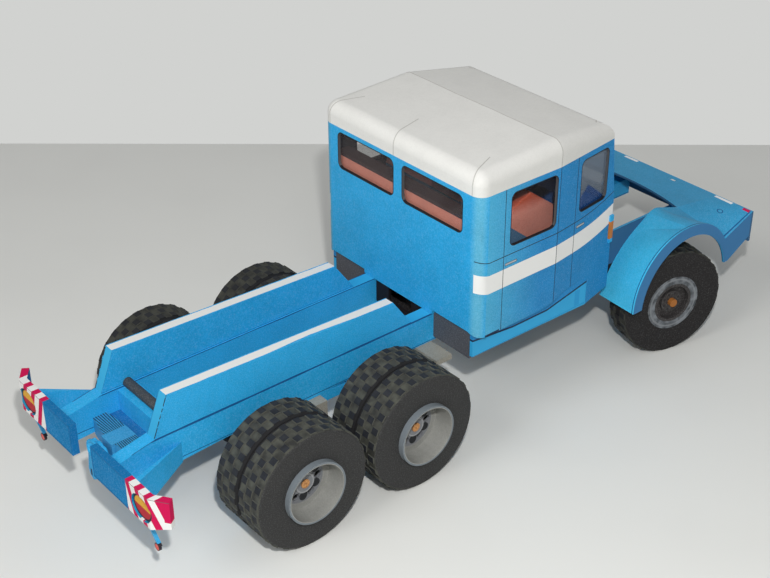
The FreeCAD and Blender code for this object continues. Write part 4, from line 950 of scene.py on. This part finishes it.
rim_finish("rear_rim_print", REAR_AXLE).done(*both("rear_rim"))
rim_finish("mid_rim_print", MID_AXLE).done(*both("mid_rim"))
for name, side in (("left", KINGPIN_SIDE), ("right", -KINGPIN_SIDE)):
    hub = Finish(f"front_rim_print_{name}", ink(54, 51, 51)).paper(0.20)
    reach, angle = wheel_plane(hub, FRONT_AXLE, STEER, side)
    cloudy = (hub.noise(2.6, detail=4.0) - 0.36) * 3.4
    hub.print_on(reach > FRONT_DISH, hub.mix(cloudy, ink(66, 70, 74), ink(122, 127, 132)))
    hub.print_on(line(reach, *FRONT_RING) * 0.6, ink(134, 138, 142))
    hub.print_on(round_marks(reach, angle, *BOLTS), ink(34, 32, 34))
    hub.print_on(reach < CAP_RADIUS, ink(160, 100, 44))
    hub.done(f"front_rim_{name}")

# %% [markdown]
# ## Wooden dowels
# The dual wheels turn on dowels of pale wood, whose cut ends stick out of the rims. The grain is a
# noise stretched along the axle, so the ends show small spots and the sides long fibres.

# %% Wooden dowels
def dowel_wood(name):
    """Pale wood with its grain along the axle."""
    wood = Finish(name, ink(196, 142, 88), roughness=0.7)
    grain = wood.noise(0.7, stretch=(1.0, 0.05, 1.0))
    wood.colour = wood.mix((grain - 0.35) * 3, ink(206, 152, 96), ink(158, 104, 60))
    wood.height = grain
    wood.bump = 0.3
    return wood


dowel_wood("rear_dowel_wood").done("rear_dowel")
dowel_wood("mid_dowel_wood").done("mid_dowel")

# %% [markdown]
# ## Tyres
# A tyre is a plain ring in the CAD frame. The paper one has three rows of square blocks, set off
# against each other, that stand a little proud. One profile is spun round the axle in steps of
# half a block, and then every second square is pushed out with `inset_individual`.

# %% Tyre shape
TYRE_HALF = 5.25
TREAD_BASE = 20.1
BLOCK_HEIGHT = 0.36
BLOCK_COUNT = 26
BLOCK_TAPER = 0.2
RIM_RADIUS = 10.6
SHOULDER = 19.5
HALF_PROFILE = [(1.4, TREAD_BASE), (1.95, TREAD_BASE), (4.75, TREAD_BASE), (4.9, TREAD_BASE),
                (TYRE_HALF, SHOULDER), (TYRE_HALF, 15.0), (TYRE_HALF, RIM_RADIUS)]
PROFILE = [(-along, out) for along, out in reversed(HALF_PROFILE)] + HALF_PROFILE
ROWS = (-3.35, 0.0, 3.35)
ROW_HALF = 1.0


def tyre(shape, centre, turn=0.0):
    """Add one tyre with its raised blocks to a bmesh."""
    made = bmesh.new()
    points = [made.verts.new((0, along * MM, out * MM)) for along, out in PROFILE]
    edges = [made.edges.new(pair) for pair in zip(points, points[1:])]
    edges.append(made.edges.new((points[-1], points[0])))
    bmesh.ops.spin(made, geom=points + edges, cent=(0, 0, 0), axis=(0, 1, 0), angle=math.tau,
                   steps=BLOCK_COUNT * 2, use_merge=True)
    bmesh.ops.remove_doubles(made, verts=made.verts, dist=0.001 * MM)
    bmesh.ops.recalc_face_normals(made, faces=made.faces)
    blocks = []
    for face in made.faces:
        middle = face.calc_center_median() / MM
        cell = round(math.atan2(middle.z, middle.x) / math.tau * BLOCK_COUNT * 2 - 0.5)
        for number, row in enumerate(ROWS):
            on_row = abs(middle.y - row) < ROW_HALF and middle.xz.length > TREAD_BASE - 0.2
            if on_row and (cell + number) % 2 == 0:
                blocks.append(face)
    bmesh.ops.inset_individual(made, faces=blocks, thickness=BLOCK_TAPER * MM, depth=BLOCK_HEIGHT * MM)
    place = Matrix.Translation(Vector(centre) * MM) @ Matrix.Rotation(turn, 4, "Z")
    bmesh.ops.transform(made, matrix=place, verts=made.verts)
    join(shape, made)
    return len(blocks)


def tyre_piece(name, body, node, centres, material, turn=0.0):
    """One piece with its tyres, riding on its body in place of the CAD node."""
    shape = bmesh.new()
    blocks = sum(tyre(shape, centre, turn) for centre in centres)
    piece = add_piece(name, shape, material, body, "tyre_card", node)
    print(name, "has", blocks, "blocks and", len(piece.data.polygons), "faces")


# %% [markdown]
# The tread's print is brown grey between the blocks and blue black on them, with thin pale lines
# round each square, on the blocks' slopes. The groove between two dual tyres is painted black as
# shade, and the side walls are plain dark grey paper, slightly cloudy; in front they are darker,
# partly as painted shade. The treads in front and on the left lie in the shade of other sheets in
# the photograph, and are painted darker as shade.

# %% Tyre finish and the ten tyres
GROOVE = (35.3, 2.2)
GROOVE_RADIUS = 19.2
TREAD_RADIUS = 19.9
SLOPE_RADIUS = 20.13
BLOCK_RADIUS = 20.42
SHADED_FRONT = 50.0


def tyre_finish(name, axle, wall, turn=0.0, side=0.0):
    """Dark side walls, brown grey tread and nearly black blocks."""
    rubber = Finish(name, wall, roughness=0.75).paper(0.14, speckle=0.08, bump=0.4)
    reach, angle = wheel_plane(rubber, axle, turn, side)
    worn = (rubber.noise(3.0) - 0.3) * 2.5
    rubber.print_on(reach > TREAD_RADIUS, rubber.mix(worn, ink(44, 44, 42), ink(78, 79, 71)))
    rubber.print_on(reach > SLOPE_RADIUS, ink(74, 75, 68))
    rubber.print_on(reach > BLOCK_RADIUS, rubber.mix(worn, ink(26, 28, 33), ink(40, 42, 47)))
    # Painted shade: the groove between two dual tyres is near black.
    rubber.print_on((reach > GROOVE_RADIUS) * line(rubber.side, *GROOVE), ink(28, 28, 30))
    shaded = (rubber.x > SHADED_FRONT) | (rubber.y > 0.0)
    rubber.shade((reach > TREAD_RADIUS) * shaded, 0.35)
    return rubber.done()


DUAL_CENTRES = (29.65, 40.95)
for axle_name, axle in (("rear", REAR_AXLE), ("mid", MID_AXLE)):
    rubber = tyre_finish(f"{axle_name}_tyre_print", axle, ink(48, 48, 48))
    for name, side in (("left", 1), ("right", -1)):
        centres = [(axle, middle * side, TYRE_RADIUS) for middle in DUAL_CENTRES]
        tyre_piece(f"{axle_name}_treads_{name}", f"{axle_name}_wheels", f"{axle_name}_tyres_{name}",
                   centres, rubber)

KINGPIN_OFFSET = 7.0
for name, side in (("left", 1), ("right", -1)):
    print_name = f"front_tyre_print_{name}"
    # The front tyres' side walls are darker than the rear ones, partly as painted shade.
    rubber = tyre_finish(print_name, FRONT_AXLE, ink(27, 25, 26), STEER, KINGPIN_SIDE * side)
    offset = Matrix.Rotation(STEER, 3, "Z") @ Vector((0, KINGPIN_OFFSET * side, 0))
    centre = Vector((FRONT_AXLE, KINGPIN_SIDE * side, TYRE_RADIUS)) + offset
    tyre_piece(f"front_tread_{name}", f"front_wheel_{name}", f"front_tyre_{name}", [centre], rubber, STEER)
